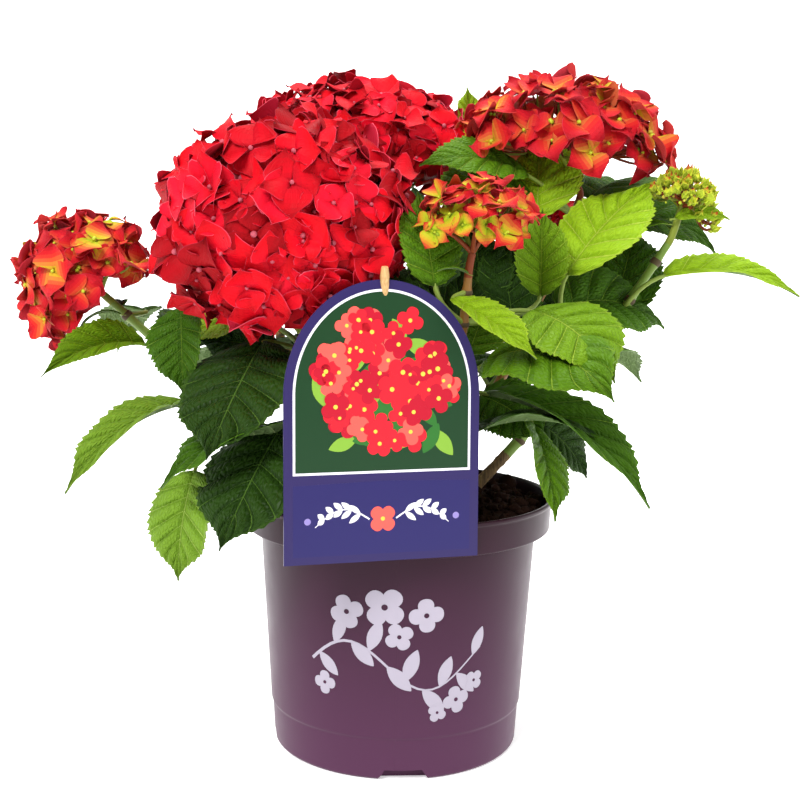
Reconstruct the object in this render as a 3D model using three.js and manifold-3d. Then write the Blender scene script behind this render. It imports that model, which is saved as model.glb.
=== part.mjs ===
// Potted hydrangea shrub in flower: nursery pot, compost, woody stems, leafy shoots, red
// flower heads, and a picture card on a bamboo cane.
// Millimetres, +Z up. The origin is the centre of the pot's flat underside, and -Y is the
// side that the picture card faces.

import * as THREE from 'three';
import { mergeVertices } from 'three/addons/utils/BufferGeometryUtils.js';
import Module from 'manifold-3d';

const wasm = await Module();
wasm.setup();

// Clearance between neighbouring pieces
const GAP = 0.3;

// Nursery pot, 5 litres: a tapering wall with a shallow step near the foot, a wider band
// under the rim, and a thick foot ring that the notches are cut into
const POT = {
  height: 187,
  rimRadius: 115,
  neckRadius: 102,
  baseRadius: 91,
  wall: 1.8,
  floor: 2.5,
  bandHeight: 23.5,
  bandTaper: 2.5,
  shoulder: 2,
  lipHeight: 2.5,
  lipDepth: 1.6,
  rimRound: 1,
  footRound: 2,
  footFlare: 1.6,
  stepHeight: 30,
  stepDepth: 1.2,
  stepRound: 2,
  ringHeight: 12,
  ringSlope: 2,
  segments: 36,
};
// Notches cut up into the pot's foot, evenly spaced; inner is how near the axis they reach
const NOTCH = {
  count: 4, bearing: -86, topWidth: 26, footWidth: 36, height: 7.6, inner: 82, overshoot: 10, backWall: 3,
};

// Compost: its height at the wall, and how much it is heaped in the middle
const SOIL = { edge: 174, heap: 16, lumps: 3, clearance: 0.8, rings: 4, segments: 20, seed: 5 };

// Bamboo cane that the card hangs on
const CANE = { foot: [-11, -68, 152], top: [-11, -121, 357], radius: 3, sides: 8 };

// Picture card: an upright card with an arched top, turned a little and nearly upright
const CARD = {
  width: 131,
  height: 183,
  archHeight: 75,
  thickness: 1,
  bottom: [-10, -124, 166],
  turn: 16,
  lean: 2,
  cornerRadius: 3,
};

// Woody stems, from the compost to the first leaves
const STEM = { footHeight: 168, footRadius: 4.6, tipRadius: 2.9, sides: 6, woodSteps: 4, leafySteps: 6 };
// Where the wood ends and the leafy shoot begins, and the leaf joints above it
const WOOD_END = 0.3;
// The stem's socket in the compost: the room round it, and the steps of the stem that it covers
const SOCKET_ROOM = 0.6;
const SOCKET_STEPS = 3;
const JOINTS = [0.36, 0.48, 0.6, 0.72, 0.84, 0.95];

// Each shoot runs from its foot in the compost, bends at a turning point and ends at the neck
// under its flower head.
const SHOOTS = {
  front_left: { foot: [-16, -20], bend: [-50, -40, 240], neck: [-66, -50, 300] },
  back_middle: { foot: [-8, 20], bend: [-30, 45, 280], neck: [-22, 52, 378] },
  far_left: { foot: [-30, 0], bend: [-110, -5, 235], neck: [-208, -15, 325] },
  back_right: { foot: [20, 16], bend: [90, 30, 280], neck: [133, 40, 405] },
  front_middle: { foot: [10, -26], bend: [40, -60, 250], neck: [44, -85, 350] },
  far_right: { foot: [32, -4], bend: [110, -5, 240], neck: [193, 0, 373] },
  rear_right: { foot: [8, 36], bend: [60, 80, 240], neck: [118, 110, 312] },
  rear_left: { foot: [-26, 26], bend: [-60, 80, 230], neck: [-102, 100, 300] },
};

// Flower heads. A mophead is a close ball of florets round a core; an open head carries its
// florets on a spray of branches. Radii reach the florets' rims; spread is the angle from the
// head's axis to its last floret.
const HEADS = {
  front_left: {
    kind: 'mophead', centre: [-79, -68, 381], radii: [91, 72, 76], face: [-0.1, -0.35, 1],
    florets: 50, floretRadius: 17.5, spread: 138,
  },
  back_middle: {
    kind: 'mophead', centre: [-33, 60, 443], radii: [86, 66, 52], face: [0.05, -0.1, 1],
    florets: 30, floretRadius: 17, spread: 108,
  },
  rear_left: {
    kind: 'mophead', centre: [-120, 118, 352], radii: [64, 60, 50], face: [-0.3, 0.4, 1],
    florets: 20, floretRadius: 17, spread: 110,
  },
  rear_right: {
    kind: 'mophead', centre: [138, 124, 360], radii: [60, 55, 46], face: [0.3, 0.4, 1],
    florets: 19, floretRadius: 16.5, spread: 110,
  },
  far_left: {
    kind: 'open', centre: [-226, -20, 340], radii: [48, 44, 50], face: [-0.6, -0.25, 0.75],
    florets: 20, floretRadius: 18, spread: 122,
  },
  back_right: {
    kind: 'open', centre: [124, 40, 436], radii: [84, 64, 64], face: [0.12, -0.1, 1],
    florets: 28, floretRadius: 20, spread: 92,
  },
  front_middle: {
    kind: 'open', centre: [49, -90, 385], radii: [45, 34, 35], face: [0, -0.1, 1],
    florets: 15, floretRadius: 14, spread: 104,
  },
  far_right: {
    kind: 'open', centre: [203, 0, 402], radii: [25, 22, 29], face: [0.2, 0, 1],
    florets: 13, floretRadius: 8.5, spread: 90,
  },
};

// Leaves placed by hand. base is where the blade begins; bearing is its compass direction
// (0 is +X, 90 is +Y); lift is its slope there, and it bends down by droop along its length.
// roll raises the left half, fold closes the two halves, swing turns the blade sideways.
const PLACED_LEAVES = [
  {
    on: 'far_left', base: [-184, -20, 296], bearing: 230, lift: 12, droop: 48,
    length: 92, width: 44, fold: 28, roll: -2,
  },
  {
    on: 'far_left', base: [-166, -30, 320], bearing: 222, lift: -42, droop: 32,
    length: 76, width: 60, fold: 20, roll: -30,
  },
  {
    on: 'far_left', base: [-190, 14, 318], bearing: 125, lift: 0, droop: 70,
    length: 70, width: 46, fold: 18, roll: 0,
  },
  {
    on: 'far_left', base: [-152, -32, 256], bearing: 234, lift: 8, droop: 60,
    length: 118, width: 56, fold: 26, roll: 3,
  },
  {
    on: 'far_left', base: [-138, -62, 212], bearing: 247, lift: -58, droop: 36,
    length: 76, width: 54, fold: 14, roll: 20,
  },
  {
    on: 'front_left', base: [-97, -42, 302], bearing: 250, lift: -34, droop: 14,
    length: 110, width: 88, fold: 6, roll: 4,
  },
  {
    on: 'front_left', base: [-80, -56, 248], bearing: 244, lift: -36, droop: 14,
    length: 112, width: 88, fold: 6, roll: 3,
  },
  {
    on: 'front_left', base: [-118, -20, 314], bearing: 196, lift: -10, droop: 25,
    length: 58, width: 44, fold: 15, roll: -30,
  },
  {
    on: 'front_left', base: [24, -80, 324], bearing: 192, lift: 14, droop: 24,
    length: 66, width: 42, fold: 6, roll: -76,
  },
  {
    on: 'back_right', base: [92, 16, 422], bearing: 202, lift: 25, droop: 47,
    length: 90, width: 52, fold: 10, roll: -31,
  },
  {
    on: 'back_right', base: [100, 6, 392], bearing: 82, lift: 52, droop: 16,
    length: 78, width: 62, fold: 10, roll: -20,
  },
  {
    on: 'back_right', base: [150, 28, 388], bearing: 2, lift: 21, droop: 75,
    length: 96, width: 54, fold: 16, roll: 36,
  },
  {
    on: 'front_middle', base: [96, -52, 336], bearing: 86, lift: 82, droop: 8,
    length: 62, width: 46, fold: 38, roll: 0,
  },
  {
    on: 'front_middle', base: [24, -62, 342], bearing: 113, lift: 70, droop: 27,
    length: 84, width: 60, fold: 10, roll: 13,
  },
  {
    on: 'front_middle', base: [33, -98, 337], bearing: 331, lift: -22, droop: 18,
    length: 72, width: 36, fold: 20, roll: 15,
  },
  {
    on: 'front_middle', base: [88, -70, 328], bearing: 319, lift: -8, droop: 52,
    length: 84, width: 72, fold: 8, roll: 16,
  },
  {
    on: 'front_middle', base: [57, -62, 292], bearing: 316, lift: 26, droop: 74,
    length: 118, width: 76, fold: 10, roll: 25,
  },
  {
    on: 'front_middle', base: [61, -48, 268], bearing: 329, lift: -4, droop: 52,
    length: 145, width: 52, fold: 28, roll: 8,
  },
  {
    on: 'far_right', base: [117, -44, 362], bearing: 42, lift: 32, droop: 2,
    length: 103, width: 76, fold: 8, roll: 16,
  },
  {
    on: 'far_right', base: [187, -14, 354], bearing: 2, lift: 8, droop: 38,
    length: 105, width: 42, fold: 22, roll: 22,
  },
  {
    on: 'far_right', base: [112, -26, 326], bearing: 25, lift: 20, droop: 62,
    length: 99, width: 66, fold: 12, roll: 40,
  },
  {
    on: 'far_right', base: [58, -14, 262], bearing: 330, lift: -12, droop: 34,
    length: 60, width: 54, fold: 8, roll: 40,
  },
  {
    on: 'far_right', base: [94, -44, 246], bearing: 284, lift: -30, droop: 40,
    length: 80, width: 46, fold: 18, roll: -38,
  },
  {
    on: 'rear_right', base: [108, 20, 236], bearing: 6, lift: -32, droop: 36,
    length: 56, width: 50, fold: 12, roll: 38,
  },
  {
    on: 'rear_right', base: [54, 78, 446], bearing: 130, lift: 76, droop: -8,
    length: 46, width: 34, fold: 18, roll: 0,
  },
];

// Leaves that fill the crown's back and inside: opposite pairs at the shoot's joints, each
// pair turned a quarter from the last, kept when they point within reach of "towards".
const PAIRED_LEAVES = {
  back_middle: { towards: 90, reach: 100, upTo: 1, seed: 11 },
  back_right: { towards: 80, reach: 70, upTo: 1, seed: 12 },
  rear_right: { towards: 90, reach: 65, upTo: 1, seed: 13 },
  rear_left: { towards: 120, reach: 80, upTo: 1, seed: 14 },
  far_left: { towards: 90, reach: 50, upTo: 0.75, seed: 15 },
  far_right: { towards: 95, reach: 55, upTo: 0.75, seed: 16 },
  front_left: { towards: 150, reach: 40, upTo: 0.7, seed: 17 },
  front_middle: { towards: 20, reach: 60, upTo: 0.5, seed: 18 },
};
const PAIR = { stalk: 30, rise: 28, length: 122, width: 74, lift: 20, droop: 62, fold: 14, wander: 16 };
// Where a paired leaf has no room, it is tried turned aside, and then smaller
const TRIES = [[0, 1], [22, 1], [-22, 1], [0, 0.8], [30, 0.8], [-30, 0.8], [0, 0.6], [40, 0.6], [-40, 0.6]];

// A blade's greatest thickness, and its widest place, as powers of its outline
const BLADE = { thickness: 2, outlineBase: 0.6, outlineTip: 0.9, steps: 20, stations: [4, 9, 14, 18, 20] };
const STALK = { rootRadius: 2.4, tipRadius: 1.8 };
// How much a leaf or floret is swelled when it is tried against its neighbours
const CLEARANCE = 0.5;

const COLOURS = {
  pot: 0x4f3143,
  soil: 0x2a1c16,
  cane: 0xd0a468,
  card: 0x54478a,
  wood: 0x6d5a34,
  leaf: 0x4f8a24,
  red: 0xd8122c,
  openRed: 0xd9382f,
  bud: 0xb6c832,
};

const vec = (p) => new THREE.Vector3(p[0], p[1], p[2]);
const radians = THREE.MathUtils.degToRad;

// Seeded random numbers from 0 to 1
function dice(seed) {
  let state = seed * 7919;
  return () => {
    state = (state + 0x6d2b79f5) | 0;
    let t = Math.imul(state ^ (state >>> 15), 1 | state);
    t = (t + Math.imul(t ^ (t >>> 7), 61 | t)) ^ t;
    return ((t ^ (t >>> 14)) >>> 0) / 4294967296;
  };
}

// Solids and meshes

function signedVolume(points, index) {
  let sum = 0;
  const [a, b, c] = [new THREE.Vector3(), new THREE.Vector3(), new THREE.Vector3()];
  for (let i = 0; i < index.length; i += 3) {
    a.fromArray(points, index[i] * 3);
    b.fromArray(points, index[i + 1] * 3);
    c.fromArray(points, index[i + 2] * 3);
    sum += a.dot(b.cross(c));
  }
  return sum / 6;
}

function solidFrom(points, index) {
  return new wasm.Manifold(new wasm.Mesh({
    numProp: 3,
    vertProperties: new Float32Array(points),
    triVerts: new Uint32Array(index),
  }));
}

// A three.js geometry as a solid: shared corners merged, slivers of no area dropped
function solidOf(geometry) {
  const plain = geometry.clone();
  plain.deleteAttribute('normal');
  plain.deleteAttribute('uv');
  const merged = mergeVertices(plain, 1e-4);
  const corner = merged.index.array;
  const index = [];
  for (let i = 0; i < corner.length; i += 3) {
    const [a, b, c] = [corner[i], corner[i + 1], corner[i + 2]];
    if (a !== b && b !== c && a !== c) index.push(a, b, c);
  }
  return solidFrom(merged.attributes.position.array, index);
}

// A closed body skinned over rings of points; a ring of one point closes an end to a tip
function ringBody(rings) {
  const sides = Math.max(...rings.map((ring) => ring.length));
  const points = [];
  const first = [];
  for (const ring of rings) {
    first.push(points.length / 3);
    for (const p of ring) points.push(p.x, p.y, p.z);
  }
  const at = (row, i) => first[row] + (rings[row].length === 1 ? 0 : i % sides);
  const index = [];
  for (let row = 0; row < rings.length - 1; row++) {
    for (let i = 0; i < sides; i++) {
      const [a, b] = [at(row, i), at(row, i + 1)];
      const [d, c] = [at(row + 1, i), at(row + 1, i + 1)];
      if (a !== b) index.push(a, b, c);
      if (c !== d) index.push(a, c, d);
    }
  }
  const last = rings.length - 1;
  for (let i = 1; i < sides - 1; i++) {
    if (rings[0].length > 1) index.push(at(0, 0), at(0, i + 1), at(0, i));
    if (rings[last].length > 1) index.push(at(last, 0), at(last, i), at(last, i + 1));
  }
  if (signedVolume(points, index) < 0) index.reverse();
  return solidFrom(points, index);
}

// The largest closed shell of a solid: hollows that fusing sealed are filled, scraps dropped
function oneShell(solid) {
  const mesh = solid.getMesh();
  const index = mesh.triVerts;
  const parent = Array.from({ length: mesh.vertProperties.length / 3 }, (_, i) => i);
  const root = (i) => {
    while (parent[i] !== i) {
      parent[i] = parent[parent[i]];
      i = parent[i];
    }
    return i;
  };
  for (let i = 0; i < index.length; i += 3) {
    parent[root(index[i])] = root(index[i + 1]);
    parent[root(index[i + 1])] = root(index[i + 2]);
  }
  const shells = new Map();
  for (let i = 0; i < index.length; i += 3) {
    const key = root(index[i]);
    if (!shells.has(key)) shells.set(key, []);
    shells.get(key).push(index[i], index[i + 1], index[i + 2]);
  }
  let best = null;
  let bestVolume = 0;
  for (const shell of shells.values()) {
    const volume = signedVolume(mesh.vertProperties, shell);
    if (volume > bestVolume) [best, bestVolume] = [shell, volume];
  }
  const used = new Map();
  const points = [];
  const corners = best.map((i) => {
    if (!used.has(i)) {
      used.set(i, points.length / 3);
      points.push(...mesh.vertProperties.subarray(i * 3, i * 3 + 3));
    }
    return used.get(i);
  });
  return solidFrom(points, corners);
}

const group = new THREE.Group();

function addNode(name, solid, colour, roughness) {
  const mesh = oneShell(solid).getMesh();
  const geometry = new THREE.BufferGeometry();
  geometry.setAttribute('position', new THREE.BufferAttribute(mesh.vertProperties, 3));
  geometry.setIndex(new THREE.BufferAttribute(mesh.triVerts, 1));
  geometry.computeVertexNormals();
  const material = new THREE.MeshStandardMaterial({ color: colour, roughness, metalness: 0 });
  const node = new THREE.Mesh(geometry, material);
  node.name = name;
  group.add(node);
}

// The space already filled, so that a leaf or floret that would touch it is left out
const filled = [];

function boxesMeet(a, b) {
  return [0, 1, 2].every((i) => a.min[i] <= b.max[i] && b.min[i] <= a.max[i]);
}

function fill(solid, owner) {
  filled.push({ solid, owner, box: solid.boundingBox() });
}

// The owners of what a solid would touch
function touching(solid, except) {
  const box = solid.boundingBox();
  return filled
    .filter((other) => other.owner !== except && boxesMeet(box, other.box)
      && !solid.intersect(other.solid).isEmpty())
    .map((other) => other.owner);
}

// Curves and frames

function shootCurve(shoot) {
  return new THREE.QuadraticBezierCurve3(
    vec([...shoot.foot, STEM.footHeight]), vec(shoot.bend), vec(shoot.neck));
}

// A tapering limb along a curve between two places on it, which may start a little further back
function limb(curve, from, to, radiusFrom, radiusTo, sides, steps, back = 0) {
  const rings = [];
  let side = new THREE.Vector3(1, 0, 0);
  for (let i = 0; i <= steps; i++) {
    const share = i / steps;
    const place = from + (to - from) * share;
    const tangent = curve.getTangent(place);
    side = side.clone().addScaledVector(tangent, -side.dot(tangent)).normalize();
    const up = tangent.clone().cross(side);
    const radius = radiusFrom + (radiusTo - radiusFrom) * share;
    const centre = curve.getPoint(place).addScaledVector(tangent, i === 0 ? -back : 0);
    rings.push(Array.from({ length: sides }, (_, k) => {
      const angle = (k / sides) * 2 * Math.PI;
      return centre.clone()
        .addScaledVector(side, radius * Math.cos(angle))
        .addScaledVector(up, radius * Math.sin(angle));
    }));
  }
  return ringBody(rings);
}

// Leaves

// Points and directions along a leaf's midrib
function midrib(leaf) {
  const step = leaf.length / BLADE.steps;
  const place = vec(leaf.base);
  const frames = [];
  for (let i = 0; i <= BLADE.steps; i++) {
    const share = i / BLADE.steps;
    const bearing = radians(leaf.bearing + (leaf.swing ?? 0) * share);
    const slope = radians(leaf.lift - leaf.droop * share);
    const tangent = new THREE.Vector3(
      Math.cos(bearing) * Math.cos(slope), Math.sin(bearing) * Math.cos(slope), Math.sin(slope));
    const level = new THREE.Vector3(-Math.sin(bearing), Math.cos(bearing), 0);
    const left = level.clone().applyAxisAngle(tangent, radians(leaf.roll));
    const up = tangent.clone().cross(left).normalize();
    frames.push({ place: place.clone(), tangent, left, up, share });
    place.addScaledVector(tangent, step);
  }
  return frames;
}

// Half the blade's width at a share of its length
function halfWidth(leaf, share) {
  const { outlineBase: a, outlineTip: b } = BLADE;
  const peak = (a / (a + b)) ** a * (b / (a + b)) ** b;
  return (leaf.width / 2) * (share ** a) * ((1 - share) ** b) / peak;
}

// A leaf on its stalk as one body: a four-sided stalk from a point on the shoot, then a blade
// that is thick along its midrib and thin at its edges
function leafBody(leaf, start, swell) {
  const frames = midrib(leaf);
  const base = frames[0].place;
  const along = base.clone().sub(start).normalize();
  const side = frames[0].left.clone().addScaledVector(along, -frames[0].left.dot(along)).normalize();
  const up = along.clone().cross(side);
  const section = (centre, radius) => [
    centre.clone().addScaledVector(side, radius),
    centre.clone().addScaledVector(up, -radius),
    centre.clone().addScaledVector(side, -radius),
    centre.clone().addScaledVector(up, radius),
  ];
  const fold = radians(leaf.fold);
  const rings = BLADE.stations.map((station) => {
    const { place, left, up: above, share } = frames[station];
    if (station === BLADE.steps) return [place];
    const half = halfWidth(leaf, share) + swell;
    const edge = (sign) => place.clone()
      .addScaledVector(left, sign * half * Math.cos(fold))
      .addScaledVector(above, half * Math.sin(fold));
    const rise = BLADE.thickness / 2 + swell;
    return [
      edge(1),
      place.clone().addScaledVector(above, -rise),
      edge(-1),
      place.clone().addScaledVector(above, rise),
    ];
  });
  return ringBody([
    section(start, STALK.rootRadius + swell), section(base, STALK.tipRadius + swell), ...rings]);
}

// The joint of a shoot that a leaf's stalk best grows from: the nearest one, a little lower
function nearestJoint(curve, base) {
  const target = vec(base).add(new THREE.Vector3(0, 0, -12));
  const places = JOINTS.map((share) => curve.getPoint(share));
  return places.reduce((a, b) => (a.distanceTo(target) < b.distanceTo(target) ? a : b));
}

export const leftOut = [];

// Adds a leaf to its shoot unless it would touch a neighbour
function growLeaf(name, shoot, leaf, start, parts) {
  const outward = vec(leaf.base).sub(start);
  const clearStart = start.clone().addScaledVector(outward.clone().normalize(), STEM.footRadius + 2);
  const trial = leafBody(leaf, clearStart, CLEARANCE);
  const neighbours = touching(trial, shoot);
  if (neighbours.length) {
    leftOut.push({ name, neighbours });
    return false;
  }
  const body = leafBody(leaf, start, 0);
  fill(body, shoot);
  parts.push(body);
  return true;
}

// The paired leaves of a shoot
function pairedLeaves(name) {
  const rule = PAIRED_LEAVES[name];
  const curve = shootCurve(SHOOTS[name]);
  const roll = dice(rule.seed);
  const wander = (size) => (roll() * 2 - 1) * size;
  const start = roll() * 180;
  const leaves = [];
  JOINTS.forEach((joint, row) => {
    for (const half of [0, 180]) {
      const bearing = start + row * 90 + half + wander(PAIR.wander);
      const size = 1 + wander(0.14);
      const lift = PAIR.lift + wander(12);
      const droop = PAIR.droop + wander(14);
      const away = Math.abs(((bearing - rule.towards + 540) % 360) - 180);
      if (away > rule.reach || joint > rule.upTo) continue;
      leaves.push({ origin: curve.getPoint(joint), bearing, lift, droop, size, roll: wander(10) });
    }
  });
  return leaves;
}

// A paired leaf, turned aside by some degrees and made smaller where it has to be
function pairedLeaf({ origin, bearing, lift, droop, size, roll }, aside, share) {
  const [turn, rise] = [radians(bearing + aside), radians(PAIR.rise)];
  const base = origin.clone().add(new THREE.Vector3(
    Math.cos(turn) * Math.cos(rise), Math.sin(turn) * Math.cos(rise), Math.sin(rise),
  ).multiplyScalar(PAIR.stalk * share));
  return {
    base: base.toArray(), bearing: bearing + aside, lift, droop, roll, fold: PAIR.fold,
    length: PAIR.length * size * share, width: PAIR.width * size * share,
  };
}

// Florets and heads

// A four-sepalled floret: a star plate over a root point below it
function floret(centre, outward, radius, depth, twist, swell) {
  const axis = outward.clone().normalize();
  const side = new THREE.Vector3(0.3, 0.2, 1).cross(axis).normalize();
  const up = axis.clone().cross(side);
  const rim = Array.from({ length: 8 }, (_, k) => {
    const angle = twist + (k / 8) * 2 * Math.PI;
    const reach = (k % 2 ? 0.66 : 1) * radius + swell;
    return centre.clone()
      .addScaledVector(side, reach * Math.cos(angle))
      .addScaledVector(up, reach * Math.sin(angle))
      .addScaledVector(axis, k % 2 ? -0.05 * radius : 0.14 * radius);
  });
  const root = centre.clone().addScaledVector(axis, -depth - swell);
  const top = centre.clone().addScaledVector(axis, swell);
  return ringBody([[root], rim, [top]]);
}

// Directions spread evenly over a cap about an axis
function capDirections(face, count, spread) {
  const axis = vec(face).normalize();
  const side = new THREE.Vector3(0, 1, 0).cross(axis).normalize();
  const up = axis.clone().cross(side);
  const golden = Math.PI * (3 - Math.sqrt(5));
  const lowest = Math.cos(radians(spread));
  return Array.from({ length: count }, (_, i) => {
    const height = 1 - (1 - lowest) * ((i + 0.5) / count);
    const ring = Math.sqrt(1 - height * height);
    const angle = i * golden;
    return axis.clone().multiplyScalar(height)
      .addScaledVector(side, ring * Math.cos(angle))
      .addScaledVector(up, ring * Math.sin(angle));
  });
}

const MOPHEAD = { core: 0.8, coreDetail: 1, sink: 6, rimShare: 1 };
const CYME = { forkShare: 0.45, knot: 5.5, branchRadius: 1.9, twigRadius: 1.2, sides: 3, plate: 3.2 };

// A head's stalk leaves its shoot straight, then bends to the head's middle: how far on it bends
const STALK_BEND = 0.4;

function straightLimb(from, to, radiusFrom, radiusTo, sides) {
  return limb(new THREE.LineCurve3(from, to), 0, 1, radiusFrom, radiusTo, sides, 1);
}

// The middle of a head: a mophead's core on its stalk, or the hub that an open head forks from
function headMiddle(name) {
  const head = HEADS[name];
  const centre = vec(head.centre);
  const tangent = shootCurve(SHOOTS[name]).getTangent(1);
  const start = vec(SHOOTS[name].neck).addScaledVector(tangent, GAP);
  const stalk = (end, radius) => {
    const bend = start.clone().addScaledVector(tangent, start.distanceTo(end) * STALK_BEND);
    return limb(new THREE.QuadraticBezierCurve3(start, bend, end), 0, 1, STEM.tipRadius, radius,
      STEM.sides, 3);
  };
  if (head.kind === 'mophead') {
    const core = new THREE.IcosahedronGeometry(1, MOPHEAD.coreDetail);
    core.scale(...head.radii.map((r) => r * MOPHEAD.core));
    core.translate(...head.centre);
    return solidOf(core).add(stalk(centre, 2 * STEM.tipRadius));
  }
  const hub = start.clone().lerp(centre, CYME.forkShare);
  const knot = new THREE.OctahedronGeometry(CYME.knot, 1).translate(hub.x, hub.y, hub.z);
  return stalk(hub, STEM.tipRadius).add(solidOf(knot));
}

// Fuses a head's florets to its middle, leaving out any that would touch a neighbour
function addFlorets(name, middle) {
  const head = HEADS[name];
  const centre = vec(head.centre);
  const radii = vec(head.radii);
  const owner = `head_${name}`;
  const mophead = head.kind === 'mophead';
  const hub = vec(SHOOTS[name].neck).lerp(centre, CYME.forkShare);
  const roll = dice(head.florets);
  let body = middle;
  capDirections(head.face, head.florets, head.spread).forEach((direction, i) => {
    const twist = roll() * Math.PI;
    const outward = direction.clone().divide(radii).normalize();
    const reach = mophead ? MOPHEAD.rimShare - 0.04 * (i % 3) : 0.95 - 0.12 * (i % 3);
    const place = centre.clone().add(direction.clone().multiply(radii).multiplyScalar(reach));
    const depth = mophead
      ? direction.clone().multiply(radii).length() * (reach - MOPHEAD.core) + MOPHEAD.sink
      : CYME.plate;
    const plate = (swell) => floret(place, outward, head.floretRadius, depth, twist, swell);
    if (touching(plate(CLEARANCE), owner).length) return;
    if (mophead) {
      body = body.add(plate(0));
      return;
    }
    const end = place.clone().addScaledVector(outward, -CYME.plate / 2);
    const branch = (swell) => straightLimb(
      hub, end, CYME.branchRadius + swell, CYME.twigRadius + swell, CYME.sides);
    if (touching(branch(CLEARANCE), owner).length) return;
    body = body.add(plate(0)).add(branch(0));
  });
  return oneShell(body);
}

// Pot and what stands in it

// The pot's outer and inner outlines, or those of what fills it, drawn in by the given clearances
function potProfile(clearance, under) {
  const bandFoot = POT.height - POT.bandHeight;
  const rim = POT.rimRadius;
  const flared = POT.baseRadius + POT.footFlare;
  const outer = [
    [0, 0],
    [POT.baseRadius - POT.footRound, 0],
    [POT.baseRadius, POT.footRound],
    [flared, POT.stepHeight],
    [flared + POT.stepDepth, POT.stepHeight + POT.stepRound],
    [POT.neckRadius, bandFoot],
    [rim - POT.bandTaper, bandFoot],
    [rim - POT.lipDepth, POT.height - POT.lipHeight - POT.lipDepth],
    [rim, POT.height - POT.lipHeight],
    [rim, POT.height - POT.rimRound],
    [rim - POT.rimRound, POT.height],
  ];
  const wall = POT.wall + clearance;
  const ring = NOTCH.inner - NOTCH.backWall - clearance;
  const inner = [
    [rim - wall - POT.lipDepth, POT.height - POT.rimRound],
    [rim - wall - POT.bandTaper, bandFoot + wall],
    [POT.neckRadius - wall, bandFoot + wall - POT.shoulder],
    [POT.baseRadius - wall, POT.ringHeight + POT.ringSlope],
    [ring, POT.ringHeight + under],
    [ring - POT.ringSlope, POT.floor + under],
    [0, POT.floor + under],
  ];
  return { outer, inner };
}

const lathe = (profile, segments) => solidOf(
  new THREE.LatheGeometry(profile.map(([r, z]) => new THREE.Vector2(r, z)), segments)
    .rotateX(Math.PI / 2));

function buildPot() {
  const { outer, inner } = potProfile(0, 0);
  let pot = lathe([...outer, ...inner], POT.segments);
  for (let i = 0; i < NOTCH.count; i++) {
    const reach = POT.baseRadius + NOTCH.overshoot - NOTCH.inner;
    const [foot, top] = [NOTCH.footWidth / 2, NOTCH.topWidth / 2];
    const below = -NOTCH.overshoot;
    const shape = new THREE.Shape([
      new THREE.Vector2(-foot, below),
      new THREE.Vector2(foot, below),
      new THREE.Vector2(foot, 0),
      new THREE.Vector2(top, NOTCH.height),
      new THREE.Vector2(-top, NOTCH.height),
      new THREE.Vector2(-foot, 0),
    ]);
    const cutter = new THREE.ExtrudeGeometry(shape, { depth: reach, bevelEnabled: false });
    cutter.translate(0, 0, NOTCH.inner);
    cutter.rotateY(Math.PI / 2).rotateX(Math.PI / 2);
    cutter.rotateZ(radians(NOTCH.bearing + (i * 360) / NOTCH.count));
    pot = pot.subtract(solidOf(cutter));
  }
  return pot;
}

// The compost's surface, heaped in the middle and lumpy
function buildSoil() {
  const { inner } = potProfile(SOIL.clearance, GAP);
  const roll = dice(SOIL.seed);
  const slope = inner.filter(([, z]) => z < SOIL.edge);
  const [low, high] = [inner[1], inner[0]];
  const share = (SOIL.edge - low[1]) / (high[1] - low[1]);
  const edgeRadius = low[0] + (high[0] - low[0]) * share;
  const top = Array.from({ length: SOIL.rings + 1 }, (_, i) => {
    const out = i / (SOIL.rings + 0.6);
    return [edgeRadius * out, SOIL.edge + SOIL.heap * (1 - out * out)];
  });
  const profile = [[0, slope.at(-1)[1]], ...slope.slice(0, -1).reverse(), [edgeRadius, SOIL.edge],
    ...top.reverse()];
  const geometry = new THREE.LatheGeometry(
    profile.map(([r, z]) => new THREE.Vector2(r, z)), SOIL.segments).rotateX(Math.PI / 2);
  geometry.deleteAttribute('normal');
  geometry.deleteAttribute('uv');
  const merged = mergeVertices(geometry, 1e-4);
  const position = merged.attributes.position;
  for (let i = 0; i < position.count; i++) {
    const radius = Math.hypot(position.getX(i), position.getY(i));
    if (position.getZ(i) > SOIL.edge + 0.01 && radius < edgeRadius - 2) {
      position.setZ(i, position.getZ(i) + (roll() * 2 - 1) * SOIL.lumps);
    }
  }
  return solidOf(merged);
}

function buildCard() {
  const half = CARD.width / 2;
  const spring = CARD.height - CARD.archHeight;
  const corner = CARD.cornerRadius;
  const shape = new THREE.Shape();
  shape.moveTo(-half + corner, 0);
  shape.lineTo(half - corner, 0);
  shape.lineTo(half, corner);
  shape.lineTo(half, spring);
  shape.absellipse(0, spring, half, CARD.archHeight, 0, Math.PI, false);
  shape.lineTo(-half, corner);
  const card = new THREE.ExtrudeGeometry(shape, {
    depth: CARD.thickness, bevelEnabled: false, curveSegments: 12,
  });
  card.rotateX(Math.PI / 2);
  card.rotateX(-radians(CARD.lean));
  card.rotateZ(radians(CARD.turn));
  card.translate(...CARD.bottom);
  return solidOf(card);
}

const cane = straightLimb(vec(CANE.foot), vec(CANE.top), CANE.radius, CANE.radius, CANE.sides);
const caneSocket = straightLimb(
  vec(CANE.foot).add(new THREE.Vector3(0, 0, -GAP)), vec(CANE.top),
  CANE.radius + GAP, CANE.radius + GAP, CANE.sides);

// The cane passes through a slot near the card's top
const card = buildCard().subtract(caneSocket);
const pot = buildPot();
let soil = buildSoil().subtract(caneSocket);

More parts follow.
